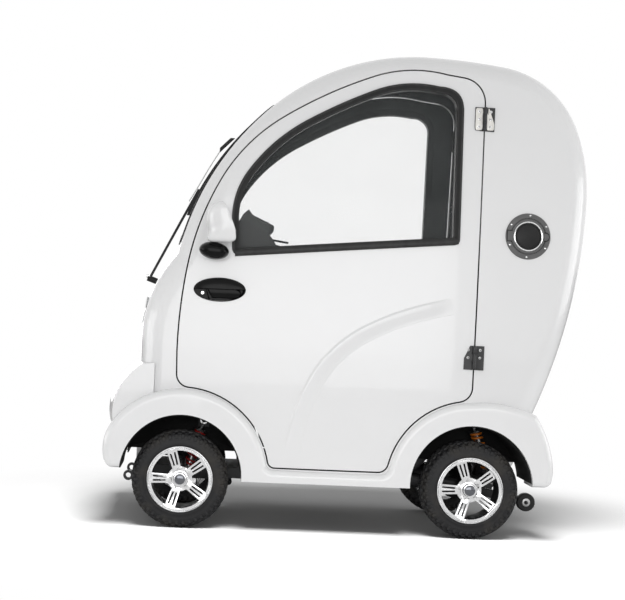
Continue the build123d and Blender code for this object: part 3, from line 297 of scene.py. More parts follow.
finishes = {
    "white": gelcoat(),
    "lining": darkLining(),
    "plastic": blackPlastic("black plastic"),
    "glossBlack": blackPlastic("gloss black plastic", 0.004, 0.2, 400.0, 0.05, 0.12),
    "darkPlastic": blackPlastic("dark grey plastic", 0.045, 0.45),
    "bronzeGrey": blackPlastic("bronze grey plastic", 0.105, 0.38, 700.0, 0.15, 0.35),
    "rubber": blackRubber("black rubber"),
    "sealEdge": blackRubber("seal bead", 0.03, 0.34),
    "cap": blackChrome(),
    # near-black liners for the wheel arches, which also paint the shade under the fenders
    "arch": blackPlastic("arch liner and painted shade", 0.01, 0.8, 260.0, 0.5),
    "tyre": tyreRubber(),
    "alloy": polishedAlloy(),
    # dark satin for the rim's inside, and painted shade on the spoke sides
    "barrel": satinPaint("dark barrel", (0.012, 0.012, 0.013), 0.35, 0.4),
    "chrome": brushedSteel("chrome", 0.8, 0.1),
    "steel": brushedSteel("brushed steel"),
    "bolt": brushedSteel("zinc bolt", 0.45, 0.35),
    "zinc": satinPaint("pale zinc", (0.78, 0.76, 0.72), 0.3, 0.35),
    "black": satinPaint("black powder coat", (0.014, 0.014, 0.015)),
    "cast": satinPaint("cast housing", (0.05, 0.05, 0.052), 0.5, 0.5),
    "red": satinPaint("red spring paint", (0.42, 0.012, 0.01), 0.3),
    "amber": satinPaint("amber spring paint", (0.62, 0.17, 0.012), 0.3),
    "leather": seatLeather(),
    "floor": floorRubber(),
    "glass": clearGlass(),
    "mirror": brushedSteel("mirror glass", 0.75, 0.06),
    "clearLens": lens("clear lens", (0.75, 0.77, 0.78), 0.75),
    "redLens": lens("red lens", (0.50, 0.012, 0.012), 1.0),
    "screen": lens("display", (0.02, 0.05, 0.06), 1.0),
}
print("finishes:", len(finishes))


# Mesh helpers
mergeWithin = 1e-6  # metres
pointSize = 1e-9  # radius of a closed end, merged to one point


def added(name, data):
    piece = bpy.data.objects.new(name, data)
    bpy.context.scene.collection.objects.link(piece)
    return piece


def meshObject(name, points, faces, finish, sharp, body, slot):
    # points and faces as arrays; doubles merged, normals turned outward
    mesh = bpy.data.meshes.new(name)
    mesh.from_pydata(np.asarray(points, float).reshape(-1, 3).tolist(), [],
                     faces if isinstance(faces, list) else faces.tolist())
    tidyMesh(mesh, sharp, True)
    piece = added(name, mesh)
    mesh.materials.append(finishes[finish].material)
    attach(piece, body)
    return piece


def standIn(piece, node):
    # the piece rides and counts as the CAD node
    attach(piece, bodyOf[node])
    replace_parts(piece, node)


def cadCopy(node, finish, sharp, ending):
    # a CAD node's mesh as a piece of its own in one finish
    mesh = nodes[node].data.copy()
    mesh.materials.clear()
    mesh.materials.append(finishes[finish].material)
    mesh.polygons.foreach_set("material_index", np.zeros(len(mesh.polygons), np.int32))
    tidyMesh(mesh, sharp, False, 2 * mergeWithin)
    return added(node + ending, mesh)


def tidyMesh(mesh, sharp, turn, near=mergeWithin):
    # doubles merged, faces turned outward if asked, smooth shading with sharp edges above the angle
    work = bmesh.new()
    work.from_mesh(mesh)
    bmesh.ops.remove_doubles(work, verts=work.verts, dist=near)
    if turn:
        bmesh.ops.recalc_face_normals(work, faces=work.faces)
    work.to_mesh(mesh)
    work.free()
    mesh.shade_smooth()
    mesh.set_sharp_from_angle(angle=math.radians(sharp))


def gridFaces(rows, columns, closeRows=False, closeColumns=False):
    # quads between neighbours of a rows by columns grid, wrapped where closed
    row = np.arange(rows if closeRows else rows - 1)[:, None]
    column = np.arange(columns if closeColumns else columns - 1)[None, :]
    nextRow, nextColumn = (row + 1) % rows, (column + 1) % columns
    corners = [row * columns + column, row * columns + nextColumn,
               nextRow * columns + nextColumn, nextRow * columns + column]
    return np.stack([c + 0 * (row + column) for c in corners], -1).reshape(-1, 4)


def unit(vectors):
    # one vector or rows of them, made 1 long
    return vectors / np.linalg.norm(vectors, axis=-1, keepdims=True)


def wholeTurn(count):
    return np.linspace(0, 2 * math.pi, count, endpoint=False)


def circle(count):
    # points (sin a, cos a) round a circle of radius 1
    return np.stack([np.sin(wholeTurn(count)), np.cos(wholeTurn(count))], -1)


def squircle(halfX, halfZ, power, count):
    # rounded rectangle: x = |cos a|^power * half width, z = |sin a|^power * half height, signs kept
    cosSin = circle(count)[:, ::-1]
    return np.sign(cosSin) * np.abs(cosSin) ** power * np.array([halfX, halfZ])


def lathe(profile, segments=64):
    # turns (radius, distance) points round the Y axis: x = r sin a, z = r cos a, y = distance
    profile = np.asarray(profile, float)
    sinCos = circle(segments)
    radius, along = profile[:, 0], profile[:, 1]
    points = np.stack([np.outer(sinCos[:, 0], radius), np.tile(along, (segments, 1)),
                       np.outer(sinCos[:, 1], radius)], -1)
    return points.reshape(-1, 3), gridFaces(segments, len(profile), True, False)


def tube(path, radius, around=10, up=(0, 0, 1)):
    # rings round a path: side = tangent x up, lift = side x tangent; both ends closed to a point
    path = np.asarray(path, float)
    tangent = unit(np.gradient(path, axis=0))
    side = unit(np.cross(tangent, up))
    lift = np.cross(side, tangent)
    size = np.broadcast_to(np.asarray(radius, float), (len(path),)).copy()
    path = np.vstack([path[:1], path, path[-1:]])
    side, lift = (np.vstack([a[:1], a, a[-1:]]) for a in (side, lift))
    size = np.concatenate([[pointSize], size, [pointSize]])
    sin, cos = circle(around).T[:, None, :, None]
    ring = cos * side[:, None] + sin * lift[:, None]
    points = path[:, None] + size[:, None, None] * ring
    return points.reshape(-1, 3), gridFaces(len(path), around, False, True)


cubeCorners = np.array([[x, y, z] for x in (-1, 1) for y in (-1, 1) for z in (-1, 1)], float)
cubeFaces = np.array([[0, 1, 3, 2], [4, 6, 7, 5], [0, 4, 5, 1], [2, 3, 7, 6], [0, 2, 6, 4], [1, 5, 7, 3]])


def blocks(centres, axes, halfSizes, taper=1.0):
    # one box at each centre: corner = centre + sum of axis * half size * (-1 or 1), top corners tapered
    centres = np.asarray(centres, float).reshape(-1, 3)
    axes = np.broadcast_to(np.asarray(axes, float), (len(centres), 3, 3))
    half = np.broadcast_to(np.asarray(halfSizes, float), (len(centres), 3))
    shrink = np.where(cubeCorners[:, 2:] > 0, taper, 1.0)
    local = cubeCorners * np.hstack([shrink, shrink, np.ones_like(shrink)])
    points = centres[:, None] + np.einsum("nk,ck,nkj->ncj", half, local, axes)
    faces = cubeFaces[None] + 8 * np.arange(len(centres))[:, None, None]
    return points.reshape(-1, 3), faces.reshape(-1, 4)


def joined(*shapes):
    # several shapes as one, with the face numbers moved on
    points, faces, start = [], [], 0
    for some, quads in shapes:
        points.append(some)
        faces.append(np.asarray(quads) + start)
        start += len(some)
    return np.vstack(points), np.vstack(faces)


def copies(shape, offsets):
    # the shape repeated at each offset
    points, faces = shape
    offsets = np.asarray(offsets, float).reshape(-1, 1, 3)
    count = len(offsets)
    spread = (points[None] + offsets).reshape(-1, 3)
    return spread, (faces[None] + len(points) * np.arange(count)[:, None, None]).reshape(-1, faces.shape[1])


def addBevel(piece, width, segments=2, angle=35.0):
    bevel = piece.modifiers.new("edges", "BEVEL")
    bevel.width = width
    bevel.segments = segments
    bevel.limit_method = "ANGLE"
    bevel.angle_limit = math.radians(angle)
    bevel.harden_normals = False
    return piece


def dressed(node, finish, sharp=30.0, flatten=0.0):
    # smooth-shaded copy of a CAD node that stands for it
    piece = cadCopy(node, finish, sharp, "_skin")
    if flatten:
        work = bmesh.new()
        work.from_mesh(piece.data)
        bmesh.ops.dissolve_limit(work, angle_limit=math.radians(flatten), verts=work.verts, edges=work.edges)
        work.to_mesh(piece.data)
        work.free()
    standIn(piece, node)
    # normals weighted by face area, so that slivers beside a cut don't dent the shading
    even = piece.modifiers.new("even normals", "WEIGHTED_NORMAL")
    even.mode = "FACE_AREA"
    even.weight = 50
    even.keep_sharp = True
    return piece


def faceData(mesh):
    count = len(mesh.polygons)
    centre, normal = np.empty(count * 3), np.empty(count * 3)
    mesh.polygons.foreach_get("center", centre)
    mesh.polygons.foreach_get("normal", normal)
    return centre.reshape(-1, 3), normal.reshape(-1, 3)


def secondFinish(piece, finish, chosen):
    # faces where the test holds take another finish
    centre, normal = faceData(piece.data)
    piece.data.materials.append(finishes[finish].material)
    index = np.where(chosen(centre, normal), len(piece.data.materials) - 1, 0).astype(np.int32)
    old = np.empty(len(index), np.int32)
    piece.data.polygons.foreach_get("material_index", old)
    piece.data.polygons.foreach_set("material_index", np.where(index > 0, index, old))
    piece.data.update()


def evaluatedCopy(piece):
    graph = bpy.context.evaluated_depsgraph_get()
    mesh = bpy.data.meshes.new_from_object(piece.evaluated_get(graph))
    piece.modifiers.clear()
    piece.data = mesh
    return mesh


def readPoints(mesh):
    flat = np.empty(len(mesh.vertices) * 3)
    mesh.vertices.foreach_get("co", flat)
    return flat.reshape(-1, 3)


def writePoints(mesh, points):
    mesh.vertices.foreach_set("co", np.asarray(points, float).ravel())
    mesh.update()


# Cabin shell, doors and glass
cabin = {"middle": (-0.10, 0.0, 0.86), "reach": (0.80, 0.36, 0.80), "innerTurn": -0.55,
         "edgeTurn": 0.03, "edgeY": 0.285}


def innerSide(centre, normal):
    # inner where the normal points against the outward direction of an ellipsoid of the cabin's reach
    outward = unit((centre - np.array(cabin["middle"])) / np.array(cabin["reach"]) ** 2)
    return (outward * normal).sum(1) < cabin["innerTurn"]


def cutEdge(centre, normal):
    # faces cut square to the side, which the door rubbers cover
    return (np.abs(normal[:, 1]) < cabin["edgeTurn"]) & (np.abs(centre[:, 1]) > cabin["edgeY"])


for node in ("body_shell", "left_door_panel", "right_door_panel"):
    skin = dressed(node, "white", 24.0)
    secondFinish(skin, "lining", innerSide)
    secondFinish(skin, "rubber", cutEdge)
for node in ("side_skirts", "front_bumper"):
    dressed(node, "white", 26.0)
for node in ("windscreen", "rear_window", "left_door_glass", "right_door_glass"):
    dressed(node, "glass")
for node in ("window_rubbers", "left_window_seal", "right_window_seal"):
    dressed(node, "rubber")
print("cabin dressed")

plainNodes = {
    "chassis_frame": "black", "front_axle": "black", "rear_axle": "cast", "left_knuckle": "cast",
    "right_knuckle": "cast", "tie_rod": "bolt", "dampers": "steel", "wheel_arch_liners": "arch",
    "floor_pan": "floor", "battery_pack": "darkPlastic", "seat_stand": "plastic", "dashboard": "plastic",
    "tiller_column": "black", "tiller_console": "darkPlastic", "handlebar": "plastic", "wiper": "plastic",
    "headlamps": "clearLens", "tail_lamps": "redLens", "left_stabiliser_wheel": "rubber",
    "right_stabiliser_wheel": "rubber",
}
for node, finish in plainNodes.items():
    dressed(node, finish)
print("small parts dressed")


# Paths on the doors


def arcRun(start, heading, stops, steps=16):
    # arcs in one plane, each tangent to the last: chord of length L, half turn h between heading and
    # chord, point at share t = start + L sin(h t) / sin(h) along the heading turned by h t
    here, ahead, points = np.array(start, float), np.array(heading, float), [np.array([start], float)]
    ahead = unit(ahead)
    for stop in stops:
        chord = np.array(stop, float) - here
        length = np.linalg.norm(chord)
        half = math.atan2(ahead[0] * chord[1] - ahead[1] * chord[0], ahead @ chord)
        turn = half * np.linspace(0, 1, steps + 1)[1:]
        reach = length * (np.sin(turn) / math.sin(half) if abs(half) > 1e-6 else turn * 0 + 1)
        along = np.stack([ahead[0] * np.cos(turn) - ahead[1] * np.sin(turn),
                          ahead[0] * np.sin(turn) + ahead[1] * np.cos(turn)], -1)
        points.append(here + reach[:, None] * along)
        here = np.array(stop, float)
        spin = 2 * half
        ahead = np.array([ahead[0] * math.cos(spin) - ahead[1] * math.sin(spin),
                          ahead[0] * math.sin(spin) + ahead[1] * math.cos(spin)])
    return np.vstack(points)


def cornerRun(before, corner, after, radius, steps=10):
    # quadratic curve over a corner: its ends lie radius * tan(half the turn) from the corner
    before, corner, after = (np.array(p, float) for p in (before, corner, after))
    into, out = unit(before - corner), unit(after - corner)
    bend = math.pi - math.acos(np.clip(into @ out, -1, 1))
    reach = radius * math.tan(bend / 2)
    t = np.linspace(0, 1, steps)[:, None]
    return (1 - t) ** 2 * (corner + into * reach) + 2 * t * (1 - t) * corner + t ** 2 * (corner + out * reach)


def evenly(points, spacing, closed=True):
    # the path resampled at even distances
    path = np.vstack([points, points[:1]]) if closed else np.asarray(points)
    steps = np.linalg.norm(np.diff(path, axis=0), axis=1)
    walked = np.concatenate([[0], np.cumsum(steps)])
    count = max(int(walked[-1] / spacing), 8)
    want = np.linspace(0, walked[-1], count + 1)
    if closed:
        want = want[:-1]
    return np.stack([np.interp(want, walked, path[:, k]) for k in range(path.shape[1])], -1)


def outwardOf(path, closed=True):
    # in-plane normals of a path in x and z, away from its middle
    step = (np.roll(path, -1, 0) - np.roll(path, 1, 0)) if closed else np.gradient(path, axis=0)
    normal = unit(np.stack([step[:, 1], -step[:, 0]], -1))
    if (normal * (path - path.mean(0))).sum() < 0:
        normal = -normal
    return normal


# Draping starts outside the doors; a point further out than "miss" found no skin. Metres along Y.
drape = {"start": 0.7, "limit": 0.75, "miss": 0.6, "spread": 0.03}


def draped(flat, target, sign):
    # points in x and z carried along Y onto a piece from outside
    mesh = bpy.data.meshes.new("probe")
    mesh.from_pydata(np.insert(flat, 1, sign * drape["start"], axis=1).tolist(), [], [])
    probe = added("probe", mesh)
    wrap = probe.modifiers.new("wrap", "SHRINKWRAP")
    wrap.target = target
    wrap.wrap_method = "PROJECT"
    wrap.use_project_x, wrap.use_project_y, wrap.use_project_z = False, True, False
    wrap.use_negative_direction = wrap.use_positive_direction = True
    wrap.project_limit = drape["limit"]
    graph = bpy.context.evaluated_depsgraph_get()
    shaped = probe.evaluated_get(graph).to_mesh()
    found = readPoints(shaped)
    bpy.data.objects.remove(probe)
    return found


def steadied(points, reach=4, limit=0.0025):
    # depths along a closed path: each is compared with the median of its neighbours, and those
    # further off than the limit are filled in between the ones kept
    depth = points[:, 1]
    near = np.stack([np.roll(depth, shift) for shift in range(-reach, reach + 1)])
    kept = (np.abs(depth - np.median(near, axis=0)) < limit) & (np.abs(depth) < drape["miss"])
    place = np.arange(len(depth))
    points[:, 1] = np.interp(place, place[kept], depth[kept], period=len(depth))
    wide = np.stack([np.roll(points[:, 1], shift) for shift in (-2, -1, 0, 1, 2)])
    points[:, 1] = wide.mean(0)
    return points


def strip(path, outward, section, sign):
    # a section of (outward, proud) distances carried along a closed path on a door
    proud = np.array([0, sign, 0])
    points = path[:, None] + section[None, :, :1] * outward[:, None] + section[None, :, 1:] * proud
    return points.reshape(-1, 3), gridFaces(len(path), len(section), True, True)


def roundSection(centre, radii, count=10):
    # an ellipse round a centre, as section points
    return np.array(centre) + np.array(radii) * circle(count)[:, ::-1]


def smoothLoop(points, rounds=3):
    # corner cutting on a closed outline
    points = np.asarray(points, float)
    for _ in range(rounds):
        after = np.roll(points, -1, 0)
        points = np.stack([0.75 * points + 0.25 * after, 0.25 * points + 0.75 * after], 1).reshape(-1, 2)
    return points


def depthFit(node, flat, centre, sign):
    # depth of a skin near a place: least squares of 1, x, z, x2, xz, z2 on draped points
    found = draped(flat, nodes[node], sign)

    def terms(x, z):
        x, z = x - centre[0], z - centre[1]
        return np.stack([1 + 0 * x, x, z, x * x, x * z, z * z], -1)

    kept = (np.abs(found[:, 1]) < drape["miss"]) & (found[:, 1] * sign > 0)
    kept &= np.abs(found[:, 1] - np.median(found[kept, 1])) < drape["spread"]
    factors = np.linalg.lstsq(terms(found[kept, 0], found[kept, 2]), found[kept, 1], rcond=None)[0]
    return lambda x, z: terms(x, z) @ factors


def skinFit(node, centre, radius, sign):
    # the fit on two rings round the place
    rings = np.vstack([centre + share * radius * circle(24)[:, ::-1] for share in (1.08, 1.3)])
    return depthFit(node, rings, centre, sign)


# Door paint round the handle: shading normals from a smooth fit of the skin. Metres, x and z.
smoothed = {"x": (0.235, 0.540), "z": (0.640, 0.925), "centre": (0.400, 0.790), "fade": 0.05, "off": 0.0015,
            "skipHalf": (0.105, 0.055), "skipAt": (0.449, 0.813), "grid": 18, "step": 0.002, "agree": 0.97}


def smoothPanel(piece, node, sign):
    # normal = (-dy/dx, 1, -dy/dz) of the fitted depth; it fades to the mesh's own towards the region's border
    places = [np.linspace(*smoothed[axis], smoothed["grid"]) for axis in "xz"]
    across, up = np.meshgrid(*places, indexing="ij")
    flat = np.stack([across.ravel(), up.ravel()], -1)
    away = (flat - np.array(smoothed["skipAt"])) / np.array(smoothed["skipHalf"])
    centre = np.array(smoothed["centre"])
    fit = depthFit(node, flat[(away ** 2).sum(1) > 1], centre, sign)
    mesh = piece.data
    corners = np.empty(len(mesh.loops) * 3)
    mesh.corner_normals.foreach_get("vector", corners)
    corners = corners.reshape(-1, 3)
    vertex = np.empty(len(mesh.loops), np.int32)
    mesh.loops.foreach_get("vertex_index", vertex)
    points = readPoints(mesh)[vertex]
    cornersPerFace = np.empty(len(mesh.polygons), np.int32)
    mesh.polygons.foreach_get("loop_total", cornersPerFace)
    facing = np.repeat(faceData(mesh)[1], cornersPerFace, axis=0)
    x, z, step = points[:, 0], points[:, 2], smoothed["step"]
    slopeX = (fit(x + step, z) - fit(x - step, z)) / (2 * step)
    slopeZ = (fit(x, z + step) - fit(x, z - step)) / (2 * step)
    smooth = unit(np.stack([-slopeX, 1 + 0 * x, -slopeZ], -1) * sign)
    inX = np.minimum(x - smoothed["x"][0], smoothed["x"][1] - x + smoothed["fade"])
    inZ = np.minimum(z - smoothed["z"][0], smoothed["z"][1] - z + smoothed["fade"])
    share = np.clip(np.minimum(inX, inZ) / smoothed["fade"], 0, 1)
    share *= np.abs(points[:, 1] - fit(x, z)) < smoothed["off"]
    share *= (facing * smooth).sum(1) > smoothed["agree"]
    piece.modifiers.clear()
    mesh.normals_split_custom_set(unit(corners + share[:, None] * (smooth - corners)).tolist())


for side, sign in sides:
    smoothPanel(bpy.data.objects[side + "_door_panel_skin"], side + "_door_panel", sign)


def frontFit(node, spot, radius):
    # x of a lamp's face as a plane in y and z: least squares of 1, y, z on its outermost points
    points = readPoints(nodes[node].data)
    facing = math.copysign(1.0, spot[0])
    near = np.hypot(points[:, 1] - spot[1], points[:, 2] - spot[2]) < radius + 0.002
    face = points[near]
    far = face[face[:, 0] * facing > np.percentile(face[:, 0] * facing, 35)]

    def terms(y, z):
        return np.stack([1 + 0 * y, y - spot[1], z - spot[2]], -1)

    factors = np.linalg.lstsq(terms(far[:, 1], far[:, 2]), far[:, 0], rcond=None)[0]
    return lambda y, z: terms(y, z) @ factors


def onSkin(shape, centre, fit, sign):
    # a shape made flat round the Y axis, moved to a place and bent with the skin there
    points, faces = shape
    x, z = points[:, 0] + centre[0], points[:, 2] + centre[1]
    return np.stack([x, fit(x, z) + sign * points[:, 1], z], -1), faces


def plate(loop, low, high, edge=0.0008):
    # a flat plate on a closed outline in x and z, its top edge eased, both sides closed by fans
    loop = np.asarray(loop, float)
    inward = unit(loop.mean(0) - loop)
    rows = [(0.0, low), (0.0, high - edge), (0.3 * edge, high - 0.3 * edge), (edge, high)]
    rings = [np.insert(loop + shift * inward, 1, height, axis=1) for shift, height in rows]
    ends = [np.tile(rings[k].mean(0), (len(loop), 1)) for k in (0, -1)]
    points = np.vstack([ends[0], *rings, ends[1]])
    return points, gridFaces(len(rings) + 2, len(loop), False, True)


# Mirrors: an egg-shaped shell, flat at the back where the glass sits, on a black foot. Metres, x and z.
mirror = {
    "outline": [(0.503, 1.050), (0.500, 1.074), (0.488, 1.092), (0.470, 1.103), (0.452, 1.106), (0.444, 1.101),
                (0.424, 1.055), (0.404, 1.012), (0.4025, 0.992), (0.404, 0.973), (0.452, 0.969), (0.502, 0.971),
                (0.492, 1.000), (0.500, 1.026)],
    "middleY": 0.425, "halfY": 0.0600, "glassTop": (0.4435, 1.100), "glassFoot": (0.4040, 1.010),
    "layers": 41, "footAt": (0.4735, 0.943), "footHalf": (0.0500, 0.0300), "footY": (0.340, 0.432),
    "glassHalf": (0.040, 0.050), "footShear": 0.006,
}


def mirrorShape():
    # the outline at share v of the half width: distance along the glass * (1 - |v|^4)^(1/4) and distance
    # from it * (1 - |v|^2.3)^(1/2.3)
    top, foot = np.array(mirror["glassTop"]), np.array(mirror["glassFoot"])
    along = unit(top - foot)
    depth = np.array([along[1], -along[0]])
    middle = (top + foot) / 2
    loop = evenly(smoothLoop(mirror["outline"]), 0.006) - middle
    share = np.sin(np.linspace(-math.pi / 2, math.pi / 2, mirror["layers"]))
    tall = np.clip(1 - np.abs(share) ** 4, 0, 1) ** 0.25
    deep = np.clip(1 - np.abs(share) ** 2.3, 0, 1) ** (1 / 2.3)
    flat = (tall[:, None, None] * (loop @ along)[None, :, None] * along
            + deep[:, None, None] * (loop @ depth)[None, :, None] * depth)
    points = np.stack([flat[..., 0] + middle[0],
                       np.broadcast_to(mirror["middleY"] + mirror["halfY"] * share[:, None], flat.shape[:2]),
                       flat[..., 1] + middle[1]], -1)
    return (points.reshape(-1, 3), gridFaces(len(share), len(loop), False, True)), middle, along, depth


def mirrorGlass(middle, along, depth):
    # rounded glass a little behind the flat of the shell: |a|^3 + |b|^3 = 1, as a thin plate
    points, faces = plate(squircle(*mirror["glassHalf"], 2 / 3, 48), -0.002, 0.0006, 0.0006)
    upward = np.array([along[0], 0, along[1]])
    axes = np.array([[0, 1, 0], [-depth[0], 0, -depth[1]], upward])
    return points @ axes + np.array([middle[0], mirror["middleY"], middle[1]]) - 0.004 * upward, faces


mirrorShell, *mirrorPlace = mirrorShape()
mirrorPlate = mirrorGlass(*mirrorPlace)
turnY, turnXZ = np.meshgrid(np.linspace(-math.pi / 2, math.pi / 2, 19), wholeTurn(40), indexing="ij")
footReach = np.abs(np.cos(turnY)) ** 0.6
footCos, footSin = footReach * np.cos(turnXZ), footReach * np.sin(turnXZ)
footFrom, footTo = mirror["footY"]
# ellipsoid with blunt ends: reach = cos(turn about the axis)^0.6, sheared along x by its height
footPoints = np.stack([
    mirror["footAt"][0] + mirror["footHalf"][0] * footCos + mirror["footShear"] * footSin,
    (footFrom + footTo) / 2 + (footTo - footFrom) / 2 * np.sin(turnY),
    mirror["footAt"][1] + mirror["footHalf"][1] * footSin], -1)
mirrorFoot = footPoints.reshape(-1, 3), gridFaces(19, 40, False, True)
for side, sign in sides:
    for part, (points, faces), finish, sharp in (
            ("shell", mirrorShell, "white", 30), ("glass", mirrorPlate, "mirror", 30),
            ("foot", mirrorFoot, "glossBlack", 40)):
        piece = meshObject(f"{side}_mirror_{part}", points * np.array([1, sign, 1]), faces, finish, sharp,
                           side + "_door", "white_shell")
        if part == "shell":
            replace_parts(piece, side + "_door_mirror")
print("mirrors done")

# Charging socket's cover: stepped ring, bright ring, plain dark disc, six screws. Radius and height in metres.
socket = {
    "at": (-0.595, 1.036),
    "ring": [(0.0520, -0.002), (0.0520, 0.0045), (0.0532, 0.0055), (0.0578, 0.0055), (0.0592, 0.0042),
             (0.0597, 0.0008), (0.0622, 0.0008), (0.0627, 0.0050), (0.0642, 0.0062), (0.0705, 0.0060),
             (0.0765, 0.0046), (0.0787, 0.0022), (0.0790, -0.002)],
    "bright": [(0.0450, -0.002), (0.0452, 0.0050), (0.0466, 0.0072), (0.0486, 0.0080), (0.0506, 0.0072),
               (0.0520, 0.0050), (0.0521, -0.002)],
    "disc": [(0.0, 0.0040), (0.0380, 0.0038), (0.0395, 0.0030), (0.0402, 0.0012), (0.0425, 0.0012),
             (0.0432, 0.0030), (0.0446, 0.0030), (0.0451, 0.0018), (0.0451, -0.002), (0.0, -0.002)],
    "screwCircle": 0.0712, "screwTurns": (86, 30, -33, -94, -154, 148),
    "hingeTab": [(0.0560, 0.0168), (0.0725, 0.0168), (0.0725, -0.0168), (0.0560, -0.0168)],
    # outlines a little wider than the tabs, for black plates that paint the shade in the slots round them
    "hingeSlotShade": [(0.0560, 0.0196), (0.0750, 0.0196), (0.0750, -0.0196), (0.0560, -0.0196)],
    "pullTab": [(-0.0560, 0.0125), (-0.0640, 0.0120), (-0.0700, 0.0080), (-0.0722, 0.0),
                (-0.0700, -0.0080), (-0.0640, -0.0120), (-0.0560, -0.0125)],
    "pullSlotShade": [(-0.0560, 0.0165), (-0.0655, 0.0155), (-0.0725, 0.0100), (-0.0750, 0.0),
                (-0.0725, -0.0100), (-0.0655, -0.0155), (-0.0560, -0.0165)],
}
socketFit = skinFit("body_shell", np.array(socket["at"]), 0.076, 1)


def socketPiece(name, shape, finish):
    return meshObject(name, *onSkin(shape, socket["at"], socketFit, 1), finish, 30, "body",
                      slotOf["charge_port"])


def socketTabs(words, high, edge):
    return joined(*[plate(evenly(np.array(socket[word]), 0.003), 0.004, high, edge) for word in words])


screwTurns = np.radians(socket["screwTurns"])
screwSpots = np.stack([-socket["screwCircle"] * np.cos(screwTurns), np.full(6, 0.0058),
                       socket["screwCircle"] * np.sin(screwTurns)], -1)
screwHead = lathe([(0.0, 0.0016), (0.0016, 0.0015), (0.0029, 0.0007), (0.0032, -0.001), (0.0, -0.001)], 18)
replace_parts(socketPiece("port_ring", lathe(socket["ring"], 96), "bronzeGrey"), "charge_port")
socketPiece("port_bright_ring", lathe(socket["bright"], 96), "chrome")
socketPiece("port_disc", lathe(socket["disc"], 72), "plastic")
# black plates under the tabs, showing round them as painted shade in their slots
socketPiece("port_slot_shade", socketTabs(("hingeSlotShade", "pullSlotShade"), 0.0064, 0.0002), "rubber")
socketPiece("port_tabs", socketTabs(("hingeTab", "pullTab"), 0.0072, 0.0008), "bronzeGrey")
socketPiece("port_screws", copies(screwHead, screwSpots), "chrome")
print("charging socket done")

# Door handles: a glossy dome above, and below it a dish with the lock plate and the pull flap.
# Metres from the handle's centre, x forward and z up.
handle = {
    "at": (0.449, 0.813), "half": (0.0885, 0.0410), "rows": 44, "turns": 176, "split": 0.0015,
    "dome": (0.0040, 0.0095), "dish": -0.0040, "lockPlate": 0.0025, "flap": 0.0075, "soft": 0.0011,
    "lockEdge": 0.046, "flapFront": (0.0400, -0.62), "flapEnd": -0.0720, "flapFoot": -0.0275,
    "lockAt": (0.0575, -0.0125),
}


def softStep(value, soft):
    # 0 to 1 over the soft width either side of zero: smooth step 3t^2 - 2t^3
    share = np.clip(0.5 + 0.5 * value / soft, 0, 1)
    return share * share * (3 - 2 * share)


def handleHeight(x, z):
    # the highest of dome, lock plate and flap over the dish, all blended by soft steps
    reach = np.hypot(x / handle["half"][0], z / handle["half"][1])
    soft = handle["soft"]
    crown = handle["dome"][0] + handle["dome"][1] * np.sqrt(np.clip(1 - reach ** 2.4, 0, 1))
    upper = softStep(z - handle["split"], soft)
    lock = softStep(x - handle["lockEdge"] - 0.35 * z, soft)
    front = handle["flapFront"][0] - handle["flapFront"][1] * z
    roundFrom = handle["flapEnd"] + 0.014
    roundEnd = 0.0125 - np.hypot(np.clip(roundFrom - x, 0, 1), z + 0.012)
    flap = (softStep(front - x, soft) * softStep(z - handle["flapFoot"], soft)
            * np.where(x < roundFrom, softStep(roundEnd, soft * 1.5), 1))
    swell = handle["flap"] - 9.0 * (z + 0.006) ** 2
    low = handle["dish"] + (handle["lockPlate"] - handle["dish"]) * lock
    low = low + (swell - low) * flap * (1 - lock)
    height = low + (crown - low) * upper
    rim = softStep(reach - 0.93, 0.035)
    return height * (1 - rim) + 0.0030 * rim


# height field on an oval: x, z = share^0.9 * half size * (cos a, sin a), closed by a flat back
share, turn = np.meshgrid(np.linspace(0, 1, handle["rows"]) ** 0.9, wholeTurn(handle["turns"]), indexing="ij")
handleX, handleZ = handle["half"][0] * share * np.cos(turn), handle["half"][1] * share * np.sin(turn)
handleTop = np.stack([handleX, handleHeight(handleX, handleZ), handleZ], -1)
handleTop[-1, :, 1] = 0.0012
handleBack = handleTop.copy()
handleBack[:, :, 1] = -0.0100
handleRows = np.concatenate([handleTop, handleBack[::-1]])
handleMesh = handleRows.reshape(-1, 3), gridFaces(len(handleRows), handle["turns"], False, True)
lockShape = lathe([(0.0, 0.0016), (0.0010, 0.0016), (0.0014, 0.0024), (0.0050, 0.0024), (0.0058, 0.0014),
                   (0.0058, -0.002), (0.0, -0.002)], 28)
for side, sign in sides:
    fit = skinFit(side + "_door_panel", np.array(handle["at"]), 0.100, sign)
    lever = meshObject(side + "_handle", *onSkin(handleMesh, handle["at"], fit, sign), "glossBlack", 50,
                       side + "_door", slotOf[side + "_door_handle"])
    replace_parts(lever, side + "_door_handle")
    lock = copies(lockShape, [[handle["lockAt"][0], handle["lockPlate"], handle["lockAt"][1]]])
    meshObject(side + "_handle_lock", *onSkin(lock, handle["at"], fit, sign), "chrome", 35, side + "_door",
               slotOf[side + "_door_handle"])
print("handles done")

# Side window: rubber beads on its frame, sill rail and the black corner panel. Metres, x and z.
window = {
    "front": (0.417, 1.060), "heading": (0.02, 1.0),
    "arcs": [(0.369, 1.221), (0.176, 1.401), (-0.053, 1.514), (-0.273, 1.536)],
    "rearTop": (-0.361, 1.533), "rearFoot": (-0.359, 0.999), "frontFoot": (0.411, 0.930),
    "corners": (0.080, 0.016, 0.024), "spacing": 0.012,
    "outerBead": (-0.0045, 0.0040), "outerSize": (0.0042, 0.0036),
    "innerBead": (-0.0205, 0.0040), "innerSize": (0.0028, 0.0026),
    "railInset": -0.0085, "railProud": 0.003, "railSize": (0.0115, 0.0070),
    "panel": [(0.400, 0.944), (0.402, 1.022), (0.380, 1.073), (0.360, 1.091), (0.343, 1.068), (0.314, 1.035),
              (0.278, 0.996), (0.249, 0.950)],
    "panelThick": 0.003, "panelBehind": 0.006,
}


